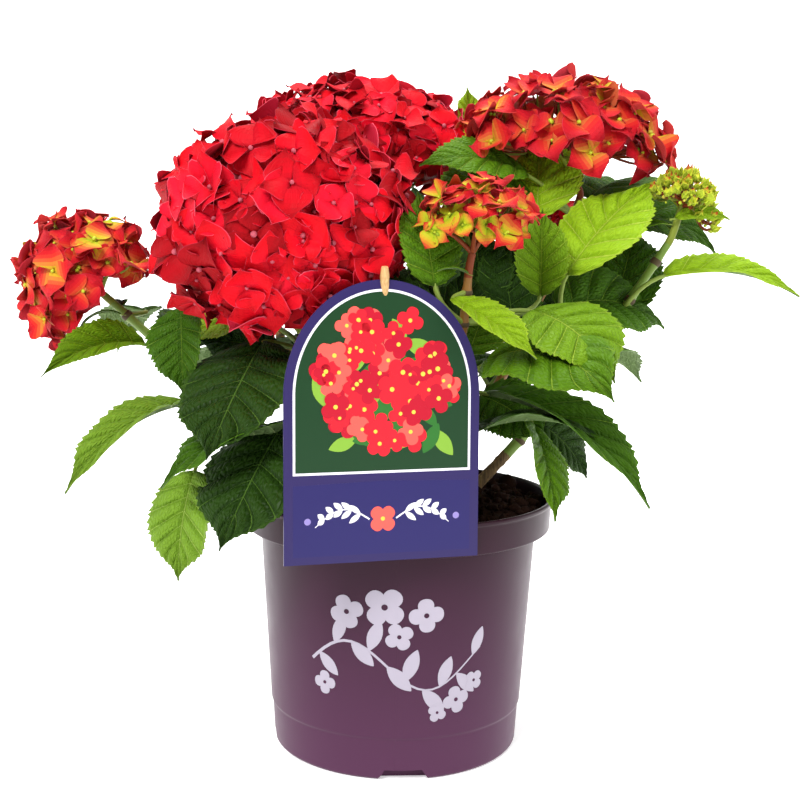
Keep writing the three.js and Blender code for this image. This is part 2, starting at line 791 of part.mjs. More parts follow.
// Stems and their sockets in the compost
const wood = {};
for (const [name, shoot] of Object.entries(SHOOTS)) {
  const curve = shootCurve(shoot);
  const woodTip = STEM.footRadius + (STEM.tipRadius - STEM.footRadius) * WOOD_END;
  const short = GAP / curve.getLength();
  wood[name] = limb(curve, 0, WOOD_END - short, STEM.footRadius, woodTip, STEM.sides, STEM.woodSteps);
  const socketShare = SOCKET_STEPS / STEM.woodSteps;
  const socketTip = STEM.footRadius + (woodTip - STEM.footRadius) * socketShare;
  soil = soil.subtract(limb(curve, 0, (WOOD_END - short) * socketShare,
    STEM.footRadius + SOCKET_ROOM, socketTip + SOCKET_ROOM, STEM.sides, SOCKET_STEPS, GAP));
  fill(wood[name], `wood_${name}`);
  fill(limb(curve, WOOD_END, 1, woodTip, STEM.tipRadius, STEM.sides, STEM.leafySteps), `shoot_${name}`);
}
[pot, soil, card, cane].forEach((solid) => fill(solid, 'pot_and_card'));

const heads = {};
for (const name of Object.keys(HEADS)) {
  heads[name] = headMiddle(name);
  fill(heads[name], `head_${name}`);
}

// Leafy shoots: the upper stem with its leaves fused on, the hand-placed leaves first
const shootParts = {};
for (const [name, shoot] of Object.entries(SHOOTS)) {
  const woodTip = STEM.footRadius + (STEM.tipRadius - STEM.footRadius) * WOOD_END;
  shootParts[name] = [limb(
    shootCurve(shoot), WOOD_END, 1, woodTip, STEM.tipRadius, STEM.sides, STEM.leafySteps)];
}
PLACED_LEAVES.forEach((leaf, i) => {
  const start = nearestJoint(shootCurve(SHOOTS[leaf.on]), leaf.base);
  growLeaf(`placed ${i} on ${leaf.on}`, `shoot_${leaf.on}`, leaf, start, shootParts[leaf.on]);
});
for (const name of Object.keys(HEADS)) {
  heads[name] = addFlorets(name, heads[name]);
  fill(heads[name], `head_${name}`);
}
for (const name of Object.keys(SHOOTS)) {
  pairedLeaves(name).forEach((rule, i) => {
    TRIES.some(([aside, share]) => growLeaf(
      `paired ${i} on ${name}`, `shoot_${name}`, pairedLeaf(rule, aside, share), rule.origin,
      shootParts[name]));
  });
}

addNode('pot', pot, COLOURS.pot, 0.45);
addNode('compost', soil, COLOURS.soil, 0.95);
addNode('label_cane', cane, COLOURS.cane, 0.6);
addNode('picture_card', card, COLOURS.card, 0.35);
for (const name of Object.keys(SHOOTS)) {
  addNode(`stem_${name}`, wood[name], COLOURS.wood, 0.7);
  const leafy = shootParts[name].reduce((whole, piece) => whole.add(piece));
  addNode(`foliage_${name}`, leafy, COLOURS.leaf, 0.55);
  const open = HEADS[name].kind === 'open';
  const colour = name === 'far_right' ? COLOURS.bud : (open ? COLOURS.openRed : COLOURS.red);
  addNode(`flower_head_${name}`, heads[name], colour, 0.6);
}

export default group;
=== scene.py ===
# Potted hydrangea shrub in flower: the looks of its pot, compost, stems, leaves, flower heads
# and picture card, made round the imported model.
# Lengths are in millimetres in the tables and functions, and turn to metres when a mesh is made.
# Only the floor and the lights are given in metres.

import math
from collections import namedtuple
from functools import lru_cache

import bmesh
import bpy
import numpy as np
from bpy.props import FloatProperty, FloatVectorProperty, IntProperty, PointerProperty
from mathutils import Matrix, Vector, noise


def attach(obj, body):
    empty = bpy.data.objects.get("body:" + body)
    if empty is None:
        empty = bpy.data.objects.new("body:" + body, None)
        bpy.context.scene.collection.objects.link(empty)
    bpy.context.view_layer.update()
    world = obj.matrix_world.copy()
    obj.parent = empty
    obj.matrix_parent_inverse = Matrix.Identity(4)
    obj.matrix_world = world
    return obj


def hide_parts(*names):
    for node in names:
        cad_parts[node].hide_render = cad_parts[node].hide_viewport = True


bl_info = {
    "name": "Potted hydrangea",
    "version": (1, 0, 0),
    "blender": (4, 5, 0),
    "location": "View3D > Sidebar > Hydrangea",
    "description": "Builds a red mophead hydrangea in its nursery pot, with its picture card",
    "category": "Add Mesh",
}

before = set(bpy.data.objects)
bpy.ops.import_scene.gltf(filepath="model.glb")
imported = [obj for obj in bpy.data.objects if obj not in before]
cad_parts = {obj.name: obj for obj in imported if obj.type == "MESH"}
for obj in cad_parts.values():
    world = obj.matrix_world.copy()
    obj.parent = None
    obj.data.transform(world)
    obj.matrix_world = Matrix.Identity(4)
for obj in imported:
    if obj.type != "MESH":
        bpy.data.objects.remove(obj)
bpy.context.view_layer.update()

MM = 0.001

# Pot: the same outline as the solid's, in millimetres from the axis and from the ground
POT_HEIGHT, RIM_RADIUS, NECK_RADIUS, BASE_RADIUS = 187, 115, 102, 91
WALL, FLOOR_TOP, BAND_HEIGHT = 1.8, 2.5, 23.5
BAND_FOOT = POT_HEIGHT - BAND_HEIGHT
# The foot widens up to a shallow step in the wall
STEP_HEIGHT, FLARED_RADIUS = 30, BASE_RADIUS + 1.6
STEP_RISE, STEP_OUT = 2, 1.2
# Rounding of the outline's corners, and the steps round the pot
CORNER_RADIUS, CORNER_STEPS, POT_STEPS = 1.2, 3, 144
# Notches: their number and the bearing of the first, their width at the top and at the foot,
# their height, and how far from the axis they start
NOTCH_COUNT, NOTCH_BEARING = 4, -86
NOTCH_TOP, NOTCH_FOOT, NOTCH_HEIGHT, NOTCH_INNER = 26, 36, 7.6, 82
# A notch's cutter goes this far past the wall and below the foot, and is wider down there
CUTTER_PAST, CUTTER_BELOW, CUTTER_WIDER = 10, 8, 10
# Edges sharper than these angles in degrees aren't shaded round
SHARP_ANGLE, SHEET_SHARP_ANGLE = 35, 62

# Sprig on the pot, in millimetres round the wall and up it: the left end, span, middle height,
# wave and bends of its stem, the number, size, angle and width of its leaves, and its flowers,
# each with its place, radius and angle
PRINT_RADIUS, PRINT_THICKNESS = 97, 0.12
SPRIG_LEFT, SPRIG_SPAN, SPRIG_HEIGHT, SPRIG_WAVE, SPRIG_BENDS = -62, 124, 84, 17, 2.2
SPRIG_LEAVES, SPRIG_LEAF, SPRIG_LEAF_ANGLE, SPRIG_LEAF_WIDTH = 10, 25, 58, 0.42
SPRIG_FLOWERS = ((-34, 122, 12, 20), (-8, 127, 14.5, 50), (20, 121, 12, 5), (2, 106, 10, 30),
                 (44, 58, 10, 15), (58, 70, 7.5, 45), (-52, 68, 8.5, 0), (30, 50, 7, 60))

# Compost: height at the wall, heap in the middle, the radius that it fills, and how deep and how
# finely its bed is modelled
SOIL_EDGE, SOIL_HEAP, SOIL_RADIUS, SOIL_DEPTH, SOIL_CELLS = 174, 16, 110, 8.0, 120
# Size and height of its lumps, how the sizes of crumbs spread above the smallest, how far out
# crumbs lie, and how uneven crumbs and clods are
LUMP_SIZE, LUMP_HEIGHT = 22, 3.4
CRUMB_SHAPE, CRUMB_SCALE, CRUMB_LEAST, CRUMB_REACH = 2.2, 0.8, 0.8, 0.97
CRUMB_STRETCH, CRUMB_ROUGHNESS, CLOD_ROUGHNESS = (0.5, 1.35), (0.75, 1.2), (0.8, 1.15)

# Clods on the compost: place, half width and height
CLODS = ((66, 42, 9, 9), (84, 36, 7, 9), (56, 54, 11, 9), (-60, 30, 9, 8), (-40, -52, 8, 6),
         (38, 70, 10, 7), (-20, 72, 9, 7), (74, -20, 7, 5))

# Cane and card: the cane's ends, and the card's foot, turn about Z and lean in degrees
CANE_FOOT, CANE_TOP, CANE_RADIUS = (-11, -68, 152), (-11, -121, 357), 3
CARD_WIDTH, CARD_HEIGHT, CARD_ARCH, CARD_THICKNESS = 131, 183, 75, 1
CARD_BOTTOM, CARD_TURN, CARD_LEAN = (-10, -124, 166), 16, 2
# Half width of an arch at its very top, where the sheet would else close up
ARCH_TOP = 0.4
# The card's window: its foot, its width, which is also its height, and its arch, for the white
# edge and for the dark ground
WINDOW_EDGE, WINDOW = (58, 119, 68), (59.6, 115.8, 66.4)
# What fills the window keeps this far from its foot
WINDOW_MARGIN = 1.4
# The darker field below the window, and the middle of the ornament on it
FIELD_FOOT, FIELD_HEIGHT, ORNAMENT_HEIGHT = 5, 48, 28
INK_THICKNESS = 0.06

# Shoots: the height of their feet, their radius at the foot and at the neck, the share that is
# woody, the ones that are flushed red-brown, and the joints that leaves grow from
STEM_FOOT = 168
STEM_FOOT_RADIUS, STEM_TIP_RADIUS = 4.6, 2.9
WOOD_END = 0.3
FLUSHED = ("back_middle", "back_right", "front_middle", "rear_left")
JOINTS = (0.36, 0.48, 0.6, 0.72, 0.84, 0.95)
# Where the woody part has its joint, how far it and a shoot swell at a joint, and what share of
# the length such a swelling and a scar reach over
WOOD_JOINT, WOOD_SWELL, JOINT_SWELL, SWELL_REACH, SCAR_REACH = 0.15, 1.6, 0.9, 0.012, 0.008
SCAR_RINGS = (0.7, 1.15, 1.15, 0.7)
# Foot in the compost, turning point, and neck under the flower head
SHOOTS = {
    "front_left": ((-16, -20), (-50, -40, 240), (-66, -50, 300)),
    "back_middle": ((-8, 20), (-30, 45, 280), (-22, 52, 378)),
    "far_left": ((-30, 0), (-110, -5, 235), (-208, -15, 325)),
    "back_right": ((20, 16), (90, 30, 280), (133, 40, 405)),
    "front_middle": ((10, -26), (40, -60, 250), (44, -85, 350)),
    "far_right": ((32, -4), (110, -5, 240), (193, 0, 373)),
    "rear_right": ((8, 36), (60, 80, 240), (118, 110, 312)),
    "rear_left": ((-26, 26), (-60, 80, 230), (-102, 100, 300)),
}

# Flower heads: close mopheads, open heads and one head still in bud. mix and low_mix share the
# florets above and below the middle out among the head's coats. On the mopheads the bright third
# coat goes mostly above and the deep fourth coat mostly below: painted light on top and painted
# shade underneath. bare is the side, if any, where it has no florets and shows its stalks.
Head = namedtuple("Head", "kind centre radii face florets radius spread mix low_mix bare",
                  defaults=(None,))
HEADS = {
    "front_left": Head("close", (-79, -68, 381), (91, 72, 76), (-0.1, -0.35, 1), 124, 21, 142,
                       (4, 4, 3, 2), (4, 4, 1, 3)),
    "back_middle": Head("close", (-33, 60, 443), (86, 66, 52), (0.05, -0.1, 1), 92, 19.5, 118,
                        (4, 3, 4, 2), (3, 4, 1, 3)),
    "rear_left": Head("close", (-120, 118, 352), (64, 60, 50), (-0.3, 0.4, 1), 60, 19, 120,
                      (4, 3, 2, 2), (3, 4, 1, 3)),
    "rear_right": Head("close", (138, 124, 360), (60, 55, 46), (0.3, 0.4, 1), 56, 18, 120,
                       (4, 3, 2, 2), (3, 4, 1, 3)),
    "far_left": Head("open", (-226, -20, 341), (52, 46, 56), (-0.62, -0.28, 0.7), 52, 20, 116,
                     (5, 1, 5, 1), (4, 0, 7, 0), (0.72, -0.4, -0.56)),
    "back_right": Head("open", (119, 40, 436), (91, 64, 64), (0.1, -0.1, 1), 62, 22.5, 88,
                       (4, 2, 6, 0), (4, 3, 4, 1)),
    "front_middle": Head("open", (49, -90, 385), (45, 34, 35), (0, -0.1, 1), 34, 15, 104,
                         (5, 3, 3, 1), (1, 3, 0, 5)),
    "far_right": Head("bud", (204, 0, 407), (25, 22, 29), (0.2, 0, 1), 60, 6.8, 84,
                      (3, 2), (1, 2)),
}
# How far a head's stalk goes from the neck to its centre before it forks
HUB_SHARE, BUD_HUB_SHARE = 0.45, 0.8
# Cosine of how far the bare side of a head reaches
BARE_REACH = 0.68
# How far the florets of the outer and the inner layer of a mophead reach, and how they tilt
OUTER_LAYER, INNER_LAYER = (0.87, 1.0, 0.23), (0.8, 0.86, 0.2)
# How many degrees wider the inner layer spreads, how far inside the head's radii florets sit, and
# how much their sizes and places differ
INNER_SPREAD, CLOSE_INSET, CLOSE_SIZES, CLOSE_WANDER = 10, 4, (0.76, 1.14), 0.05
# The core of a mophead, painted dark red as the shade among its florets: its share of the head's
# radii, how flat it is underneath, and the stalks that fan out to its edge: their number, and
# where they end as shares of the radii
CORE_SHARE, CORE_FLAT = 0.8, 0.35
CORE_STALKS, CORE_STALK_REACH, CORE_STALK_HEIGHT = 13, 0.74, -0.22
# How far inside an open head's radii its florets sit, and how much their sizes and places differ
OPEN_INSET, OPEN_SIZES, OPEN_WANDER = 7, (0.7, 1.12), 0.07
# The flat tuft of the bud head, and the smaller one below it: half widths, and for the smaller
# one also its direction, number, spread in degrees and place from the head's centre
TUFT = (24, 21, 23)
LOW_TUFT, LOW_TUFT_PLACE = (11, 9, 8), (11, -3, -19)
LOW_TUFT_FACE, LOW_TUFT_COUNT, LOW_TUFT_SPREAD = (0.7, -0.3, 0.5), 9, 80
# Bead in the middle of a floret: its radius as a share of the floret's, plus so many millimetres,
# how its size varies and how deep it is sunk
EYE_SHARE, EYE_LEAST, EYE_SIZES, EYE_SINK = 0.07, 0.3, (0.75, 1.15), 0.2
# Closed buds round each floret: how many, how big, how far off, and how their colours are shared
BUDS_EACH, BUD_RADIUS, OPEN_BUD_RADIUS, BUD_SIZES, BUD_WANDER = 2, 1.3, 1.5, (0.6, 1.25), 1.6
BUD_TINTS = {"bud": 0.4, "pale_bud": 0.25, "green_bud": 0.2, "flushed_bud": 0.15}
# Branches inside an open head: florets for each, their spread in degrees, where they fork and
# the share of the twigs that is green
FLORETS_PER_WAY, WAYS_SPREAD, FORK_SHARE, GREEN_TWIGS = 6, 70, 0.55, 0.4

# Leaves placed one by one. base is where the blade begins, bearing its compass direction (0 is +X,
# 90 is +Y), lift its slope there and droop how far it bends down by its tip, in degrees. fold
# closes the two halves and roll raises the left one. tone is its green, and joint the share of
# the shoot's length that its stalk grows from, where that isn't the nearest joint.
Leaf = namedtuple("Leaf", "on base bearing lift droop length width fold roll tone joint",
                  defaults=(None,))
PLACED_LEAVES = (
    Leaf("far_left", (-184, -20, 296), 230, 12, 48, 93, 35, 42, -44, "young"),
    Leaf("far_left", (-158, -24, 323), 282, -58, 22, 64, 52, 26, 38, "mid", 0.72),
    Leaf("far_left", (-190, 14, 318), 125, 0, 70, 70, 46, 18, 0, "mid"),
    Leaf("far_left", (-152, -32, 256), 232, -2, 48, 123, 42, 32, -4, "pale"),
    Leaf("far_left", (-142, -66, 213), 246, -58, 34, 78, 58, 15, 8, "pale"),
    Leaf("front_left", (-97, -42, 302), 250, -34, 14, 110, 88, 6, 4, "dark"),
    Leaf("front_left", (-80, -56, 248), 244, -36, 14, 112, 88, 6, 3, "dark"),
    Leaf("front_left", (-118, -4, 314), 184, -10, 25, 54, 44, 15, -30, "lime"),
    Leaf("front_left", (24, -80, 324), 192, 14, 24, 66, 42, 6, -76, "dark"),
    Leaf("back_right", (92, 16, 422), 202, 25, 47, 90, 52, 10, -31, "fresh"),
    Leaf("back_right", (98, 6, 390), 84, 56, 16, 84, 66, 8, -14, "lime"),
    Leaf("back_right", (150, 28, 388), 2, 21, 75, 96, 54, 16, 36, "mid"),
    Leaf("front_middle", (96, -52, 336), 86, 82, 8, 62, 46, 38, 0, "young"),
    Leaf("front_middle", (24, -62, 342), 113, 70, 27, 84, 60, 10, 13, "dark"),
    Leaf("front_middle", (33, -98, 337), 331, -22, 18, 72, 36, 20, 15, "lime"),
    Leaf("front_middle", (88, -70, 328), 319, -8, 52, 84, 72, 8, 16, "young"),
    Leaf("front_middle", (57, -62, 290), 316, 30, 80, 120, 80, 8, 26, "fresh"),
    Leaf("front_middle", (61, -48, 268), 329, -4, 52, 145, 52, 28, 8, "mid"),
    Leaf("far_right", (114, -44, 351), 36, 50, 24, 108, 68, 8, 14, "lime", 0.6),
    Leaf("far_right", (188, -14, 351), 2, 14, 46, 104, 40, 24, 22, "lime", 0.79),
    Leaf("far_right", (112, -26, 326), 25, 20, 62, 99, 66, 12, 40, "mid"),
    Leaf("far_right", (58, -14, 262), 330, -12, 34, 60, 54, 8, 40, "mid"),
    Leaf("far_right", (94, -44, 246), 284, -30, 40, 80, 46, 18, -38, "fresh"),
    Leaf("rear_right", (108, 20, 236), 6, -32, 36, 56, 50, 12, 38, "dark"),
    Leaf("rear_right", (54, 78, 446), 130, 76, -8, 46, 34, 18, 0, "lime"),
)

# Opposite pairs at the shoots' joints: the bearing that they face, how far to each side of it
# they grow, the last joint that carries them, and the seed of their wander
PAIRED_LEAVES = {
    "back_middle": (90, 100, 1, 11),
    "back_right": (80, 70, 1, 12),
    "rear_right": (90, 65, 1, 13),
    "rear_left": (120, 80, 1, 14),
    "far_left": (90, 50, 0.75, 15),
    "far_right": (95, 55, 0.75, 16),
    "front_left": (150, 40, 0.7, 17),
    "front_middle": (20, 60, 0.5, 18),
}
# Length and rise of such a leaf's stalk, its own sizes, and how much they wander
PAIR_STALK, PAIR_RISE, PAIR_LENGTH, PAIR_WIDTH = 30, 28, 122, 74
PAIR_LIFT, PAIR_DROOP, PAIR_FOLD = 20, 62, 14
PAIR_WANDER = {"bearing": 16, "size": 0.14, "lift": 12, "droop": 14, "roll": 10}
# Turns in degrees and sizes at which a paired leaf may have grown, to keep clear of the others
TRIES = ((0, 1), (22, 1), (-22, 1), (0, 0.8), (30, 0.8), (-30, 0.8), (0, 0.6), (40, 0.6), (-40, 0.6))

# Leaf blade: outline powers, steps of the midrib, side veins, rows for each vein, where those
# rows lie between two veins, and where the columns of one half lie
OUTLINE_BASE, OUTLINE_TIP = 0.6, 0.9
MIDRIB_STEPS = 20
VEINS, ROWS_PER_VEIN, BLADE_COLUMNS = 8, 6, 17
VEIN_ROWS = (-0.022, 0.022, 0.24, 0.44, 0.64, 0.84)
BLADE_STOPS = (0.014, 0.1, 0.24, 0.38, 0.52, 0.66, 0.8, 0.96, 1)
# How strongly the side veins sweep towards the tip, and how they bend on their way
VEIN_SWEEP, VEIN_BEND = 0.9, 1.05
# Teeth: how far they point forwards, where they end and how fast they fade, how far the margin
# between them draws in, and the half width of the blade where they are full size
TOOTH_FORWARD, TOOTH_END, TOOTH_FADE, TOOTH_INSET, TOOTH_HALF_WIDTH = 1.8, 0.97, 2.4, 0.4, 12
# Narrower leaves than these have smaller teeth, quilts and ribs
TOOTHED_WIDTH, QUILTED_WIDTH, RIBBED_WIDTH = 50, 60, 40
# Quilting: roundness, dip beside the veins, and where it starts from the midrib
QUILT_ROUNDNESS, QUILT_DIP, QUILT_START = 0.7, 0.35, 0.3
# In millimetres: half width at the very tip, groove over the midrib, rib below it and below veins
TIP_HALF_WIDTH, MIDRIB_GROOVE, MIDRIB_RIB, VEIN_RIB = 0.3, 0.5, 1.5, 0.55
# How much the margin sags and waves, as shares of the blade's width, and its number of waves
SAG, LONG_WAVE, SHORT_WAVE = (0.03, 0.07), 0.028, 0.016
LONG_WAVES, SHORT_WAVES = 1.6, 3.4
# Where the blade starts to draw in to its point, and by how much
POINT_START, POINT_DRAW = 0.7, 0.62
# The parts of a blade that each have a colour. The crest between two side veins is lighter: a painted
# highlight of light on and through the swelling blade. The underside's are the same for all.
BLADE_ZONES = ("blade", "crest_highlight", "vein", "margin")
BLADE, CREST_HIGHLIGHT, VEIN, MARGIN, UNDER, UNDER_VEIN = range(6)

# Sepal: rows and columns of its mesh, its zones, which are its rows, its rim and its back, where
# its columns lie, and its outline powers
SEPAL_ROWS, SEPAL_COLUMNS = 7, 4
SEPAL_RIM, SEPAL_BACK, SEPAL_ZONES = SEPAL_ROWS, SEPAL_ROWS + 1, SEPAL_ROWS + 2
SEPAL_STOPS = (-1, -0.96, 0, 0.96, 1)
SEPAL_FOOT, SEPAL_TIP = 0.8, 1.45
# Half width of a sepal's claw, where it starts from the middle of the floret, and its ripple
CLAW_HALF_WIDTH, CLAW_START, SEPAL_RIPPLE = 0.15, 0.03, 0.1
# Height of each of a floret's four sepals, and how much they differ from each other
SEPAL_STACK, SEPAL_LENGTHS = (0, 0.7, 0.1, 0.8), (0.84, 1.08)
SEPAL_WANDER = {"turn": 0.1, "width": 0.07, "lift": 0.12, "curl": 0.17, "tilt": 0.08, "skew": 0.09}
MEAN_CREASE = -0.06

# How a floret holds its sepals: lift above flat and how much it varies, curl down at the tip,
# width to length, pinwheel tilt and the fold along the middle
Habit = namedtuple("Habit", "lift wander curl width tilt crease")
HABITS = {
    "close": Habit(0.2, 0.17, 0.18, 0.64, 0.13, 0.3),
    "open": Habit(0.4, 0.26, 0.2, 0.56, 0.18, 0.32),
    "bud": Habit(1.15, 0.14, -0.12, 0.5, 0.1, 0.3),
}

# Tones of the leaves
TONES = ("lime", "young", "fresh", "mid", "dark", "pale")

# Small leaves on the stalks, just under the heads
BRACTS = (
    Leaf("far_left", (-201, -22, 318), 200, 20, 95, 38, 6, 20, 0, "mid"),
    Leaf("far_left", (-205, -8, 322), 95, 30, 70, 30, 9, 20, 0, "mid"),
    Leaf("far_right", (196, -7, 392), 352, 22, 48, 40, 17, 16, 38, "lime"),
    Leaf("far_right", (192, -3, 388), 190, 10, 50, 24, 9, 16, -20, "fresh"),
    Leaf("front_middle", (44, -89, 353), 205, 28, 50, 24, 5, 20, 0, "fresh"),
    Leaf("back_right", (138, 30, 402), 10, 15, 60, 34, 8, 20, 0, "mid"),
)

# Leaves that fill the shrub between its heads and behind the leaves in front. Most are old
# and dark.
INNER_LEAVES = (
    Leaf("back_right", (84, 12, 308), 108, 68, 12, 78, 52, 10, 0, "dark"),
    Leaf("back_right", (112, 34, 292), 78, 62, 16, 70, 46, 10, 8, "dark"),
    Leaf("far_right", (158, 16, 316), 62, 62, 14, 84, 62, 12, 6, "mid"),
    Leaf("front_left", (-92, -8, 292), 168, 14, 20, 60, 44, 8, -60, "dark"),
    Leaf("front_middle", (22, -96, 344), 124, 74, 8, 66, 50, 12, 0, "fresh", 0.84),
    Leaf("front_middle", (38, -40, 318), 165, 24, 20, 78, 54, 8, -62, "dark"),
    Leaf("back_right", (96, 20, 406), 198, 8, 22, 88, 56, 8, -52, "fresh"),
    Leaf("front_left", (-66, -2, 286), 60, 48, 20, 50, 46, 8, 0, "dark"),
    Leaf("front_middle", (48, -40, 294), 62, 56, 26, 54, 52, 8, 4, "fresh"),
    Leaf("front_middle", (44, -30, 302), 104, 70, 10, 62, 46, 8, 0, "dark"),
    Leaf("back_right", (60, 14, 326), 100, 66, 14, 70, 52, 8, 0, "dark"),
)

# Camera of the photograph, fitted to the pot's rim, foot and card: its place in millimetres, how
# far it looks down and rolls in degrees, and its lens and sensor in millimetres
CAMERA_PLACE = (0, -950, 382.4)
CAMERA_PITCH, CAMERA_ROLL = 7.61, 0.89
CAMERA_LENS, CAMERA_SENSOR = 58.3, 36

# Soft lights: place, the point that it faces, its size in metres and its power in watts
Lamp = namedtuple("Lamp", "place target size watts")
LAMPS = {
    "key": Lamp((-0.7, -1.4, 1.7), (0, 0, 0.3), (0.8, 0.8), 44),
    "fill": Lamp((1.6, -1.0, 0.9), (0, 0, 0.25), (0.7, 1.2), 13),
    "left_panel": Lamp((-1.3, 0.15, 0.45), (0, 0, 0.2), (0.8, 1.3), 8),
    "right_panel": Lamp((1.3, 0.25, 0.45), (0, 0, 0.2), (0.8, 1.3), 6),
    "top": Lamp((0.1, 0.3, 1.9), (0, 0, 0.3), (1.0, 1.0), 20),
    "backdrop": Lamp((0, 1.0, 2.2), (0, 3.0, 0.6), (3.0, 0.8), 130),
}
# Strength of the white surroundings
DAYLIGHT = 0.34
# Floor: half its width, where it begins to curve up at the back and how fast, in metres, and its
# number of rows. Then its colour and how much it glows.
FLOOR_HALF, FLOOR_BEND, FLOOR_CURVE, FLOOR_STEPS = 4, 1.6, 0.28, 60
FLOOR_WHITE, FLOOR_GLOW = (0.9, 0.9, 0.9), 0.45

# Seeds of the random numbers of each part
SOIL_SEED, STEM_SEED, LEAF_SEED, CARD_SEED = 41, 7, 100, 23
HEAD_SEED, HEAD_SEED_STEP = 3, 2


def linear(colour):
    """An sRGB hex value as linear red, green and blue."""
    parts = [int(colour[i:i + 2], 16) / 255 for i in (1, 3, 5)]
    return tuple(c / 12.92 if c <= 0.04045 else ((c + 0.055) / 1.055) ** 2.4 for c in parts)


def blended(colours, share):
    """The colour at a share of the way through a row of linear colours."""
    table = np.array(colours)
    at = share * (len(table) - 1)
    return tuple(float(np.interp(at, range(len(table)), table[:, i])) for i in range(3))


def colour_property(name, description, value):
    return FloatVectorProperty(
        name=name, description=description, subtype="COLOR", size=3, min=0, max=1,
        default=linear(value),
    )


def length_property(name, description, value, least, most):
    """A length whose default and limits are given in millimetres."""
    return FloatProperty(
        name=name, description=description, unit="LENGTH", precision=5,
        default=value * MM, min=least * MM, max=most * MM,
    )


class HydrangeaSizes(bpy.types.PropertyGroup):
    """Sizes that a user may change"""

    leaf_thickness: length_property("Leaf thickness", "Thickness of a leaf blade", 0.45, 0.2, 1)
    quilt_height: length_property(
        "Quilting", "How far the blade swells up between its side veins", 2.1, 0, 4)
    tooth_depth: length_property(
        "Leaf teeth", "Depth of the teeth along a leaf's margin", 2.4, 0, 4)
    sepal_thickness: length_property(
        "Sepal thickness", "Thickness of a flower's sepals", 0.4, 0.2, 1)
    crumbs: IntProperty(
        name="Crumbs", description="Number of loose crumbs on the compost",
        default=900, min=0, max=3000,
    )


class HydrangeaColours(bpy.types.PropertyGroup):
    """Colours that a user may change"""

    # The pot's colour is that of the top of its wall, darkened there by painted shade under the rim and
    # the foliage.
    pot: colour_property("Pot", "Dark wine polypropylene of the pot", "#27101B")
    pot_print: colour_property("Pot print", "Pale grey ink of the ornament on the pot", "#A7A0AE")
    card: colour_property("Card", "Violet ground of the picture card", "#2C2356")
    peat: colour_property("Peat", "Moist peat compost", "#1C110C")
    bark: colour_property("Bark", "Young bark of the woody stems", "#6B5433")
    scarlet: colour_property("Scarlet sepals", "Main red of the close flower heads", "#DC0A1E")
    crimson: colour_property("Crimson sepals", "Deeper red of the close flower heads", "#C2071A")
    lime_leaf: colour_property("Young leaves", "Lime green of the youngest leaves", "#7FA212")
    mid_leaf: colour_property("Full-grown leaves", "Green of the full-grown leaves", "#34560A")
    dark_leaf: colour_property("Old leaves", "Dark green of the oldest leaves", "#1E360A")


# Materials

def add_node(tree, kind, sockets=None, into=None, stops=(), **settings):
    """Adds a node with its settings. Each socket takes a value or a link, from another node's
    first output or from the output given. into names the shader's socket that the node feeds,
    and stops are the places and colours of a colour ramp."""
    node = tree.nodes.new(kind)
    for key, value in settings.items():
        setattr(node, key, value)
    for number, (position, colour) in enumerate(stops):
        stop = node.color_ramp.elements[number]
        stop.position, stop.color = position, (*colour, 1)
    for key, value in (sockets or {}).items():
        if isinstance(value, bpy.types.Node):
            value = value.outputs[0]
        if isinstance(value, bpy.types.NodeSocket):
            tree.links.new(value, node.inputs[key])
        else:
            node.inputs[key].default_value = value
    if into:
        tree.links.new(node.outputs[0], tree.nodes["Principled BSDF"].inputs[into])
    return node


def new_material(name, colour, roughness, **values):
    """A material with one Principled shader, and its node tree."""
    material = bpy.data.materials.new(name)
    material.use_nodes = True
    tree = material.node_tree
    shader = tree.nodes["Principled BSDF"]
    shader.inputs["Base Color"].default_value = (*colour, 1)
    shader.inputs["Roughness"].default_value = roughness
    for key, value in values.items():
        shader.inputs[key.replace("_", " ")].default_value = value
    material.diffuse_color = (*colour, 1)
    return material, tree


def place(tree, z_scale=1):
    """Object coordinates. A small scale of their Z draws a pattern out upwards."""
    where = add_node(tree, "ShaderNodeTexCoord").outputs["Object"]
    if z_scale == 1:
        return where
    return add_node(tree, "ShaderNodeMapping", {"Vector": where, "Scale": (1, 1, z_scale)})


def per_metre(millimetres):
    """The scale of a pattern on Object coordinates whose features have this real size."""
    return 1 / (millimetres * MM)


def own_map(tree, along, across):
    """The piece's own UV map, stretched so that a pattern repeats so often along and across."""
    uv = add_node(tree, "ShaderNodeTexCoord").outputs["UV"]
    return add_node(tree, "ShaderNodeMapping", {"Vector": uv, "Scale": (along, across, 1)})


def relief(tree, where, grain_mm, detail, strength, depth_mm, **sockets):
    """A noise with this size of grain, which also stands up in relief."""
    grain = add_node(tree, "ShaderNodeTexNoise", {
        "Vector": where, "Scale": per_metre(grain_mm), "Detail": detail, **sockets,
    })
    add_node(tree, "ShaderNodeBump", {
        "Height": grain, "Strength": strength, "Distance": depth_mm * MM,
    }, into="Normal")
    return grain


def leaf_skin(name, colour, roughness, raised=1.0, **values):
    """Living leaf blade: a waxy skin, quilted between the finest net of veins. The net's cells
    are about 4 mm long and 3 mm wide on a blade of 110 by 75 mm."""
    material, tree = new_material(name, colour, roughness, **values)
    net = add_node(tree, "ShaderNodeTexVoronoi", {
        "Vector": own_map(tree, 110 / 4, 75 / 3), "Scale": 1.0, "Randomness": 0.85,
    }, feature="DISTANCE_TO_EDGE", voronoi_dimensions="2D")
    pillow = add_node(tree, "ShaderNodeMapRange", {
        "Value": net, "From Max": 0.35,
    }, interpolation_type="SMOOTHSTEP")
    add_node(tree, "ShaderNodeBump", {
        "Height": pillow, "Strength": 0.8, "Distance": raised * 0.8 * MM,
    }, into="Normal")
    add_node(tree, "ShaderNodeMapRange", {
        "Value": net, "From Max": 0.4, "To Min": roughness + 0.12, "To Max": roughness - 0.04,
    }, into="Roughness")
    return material


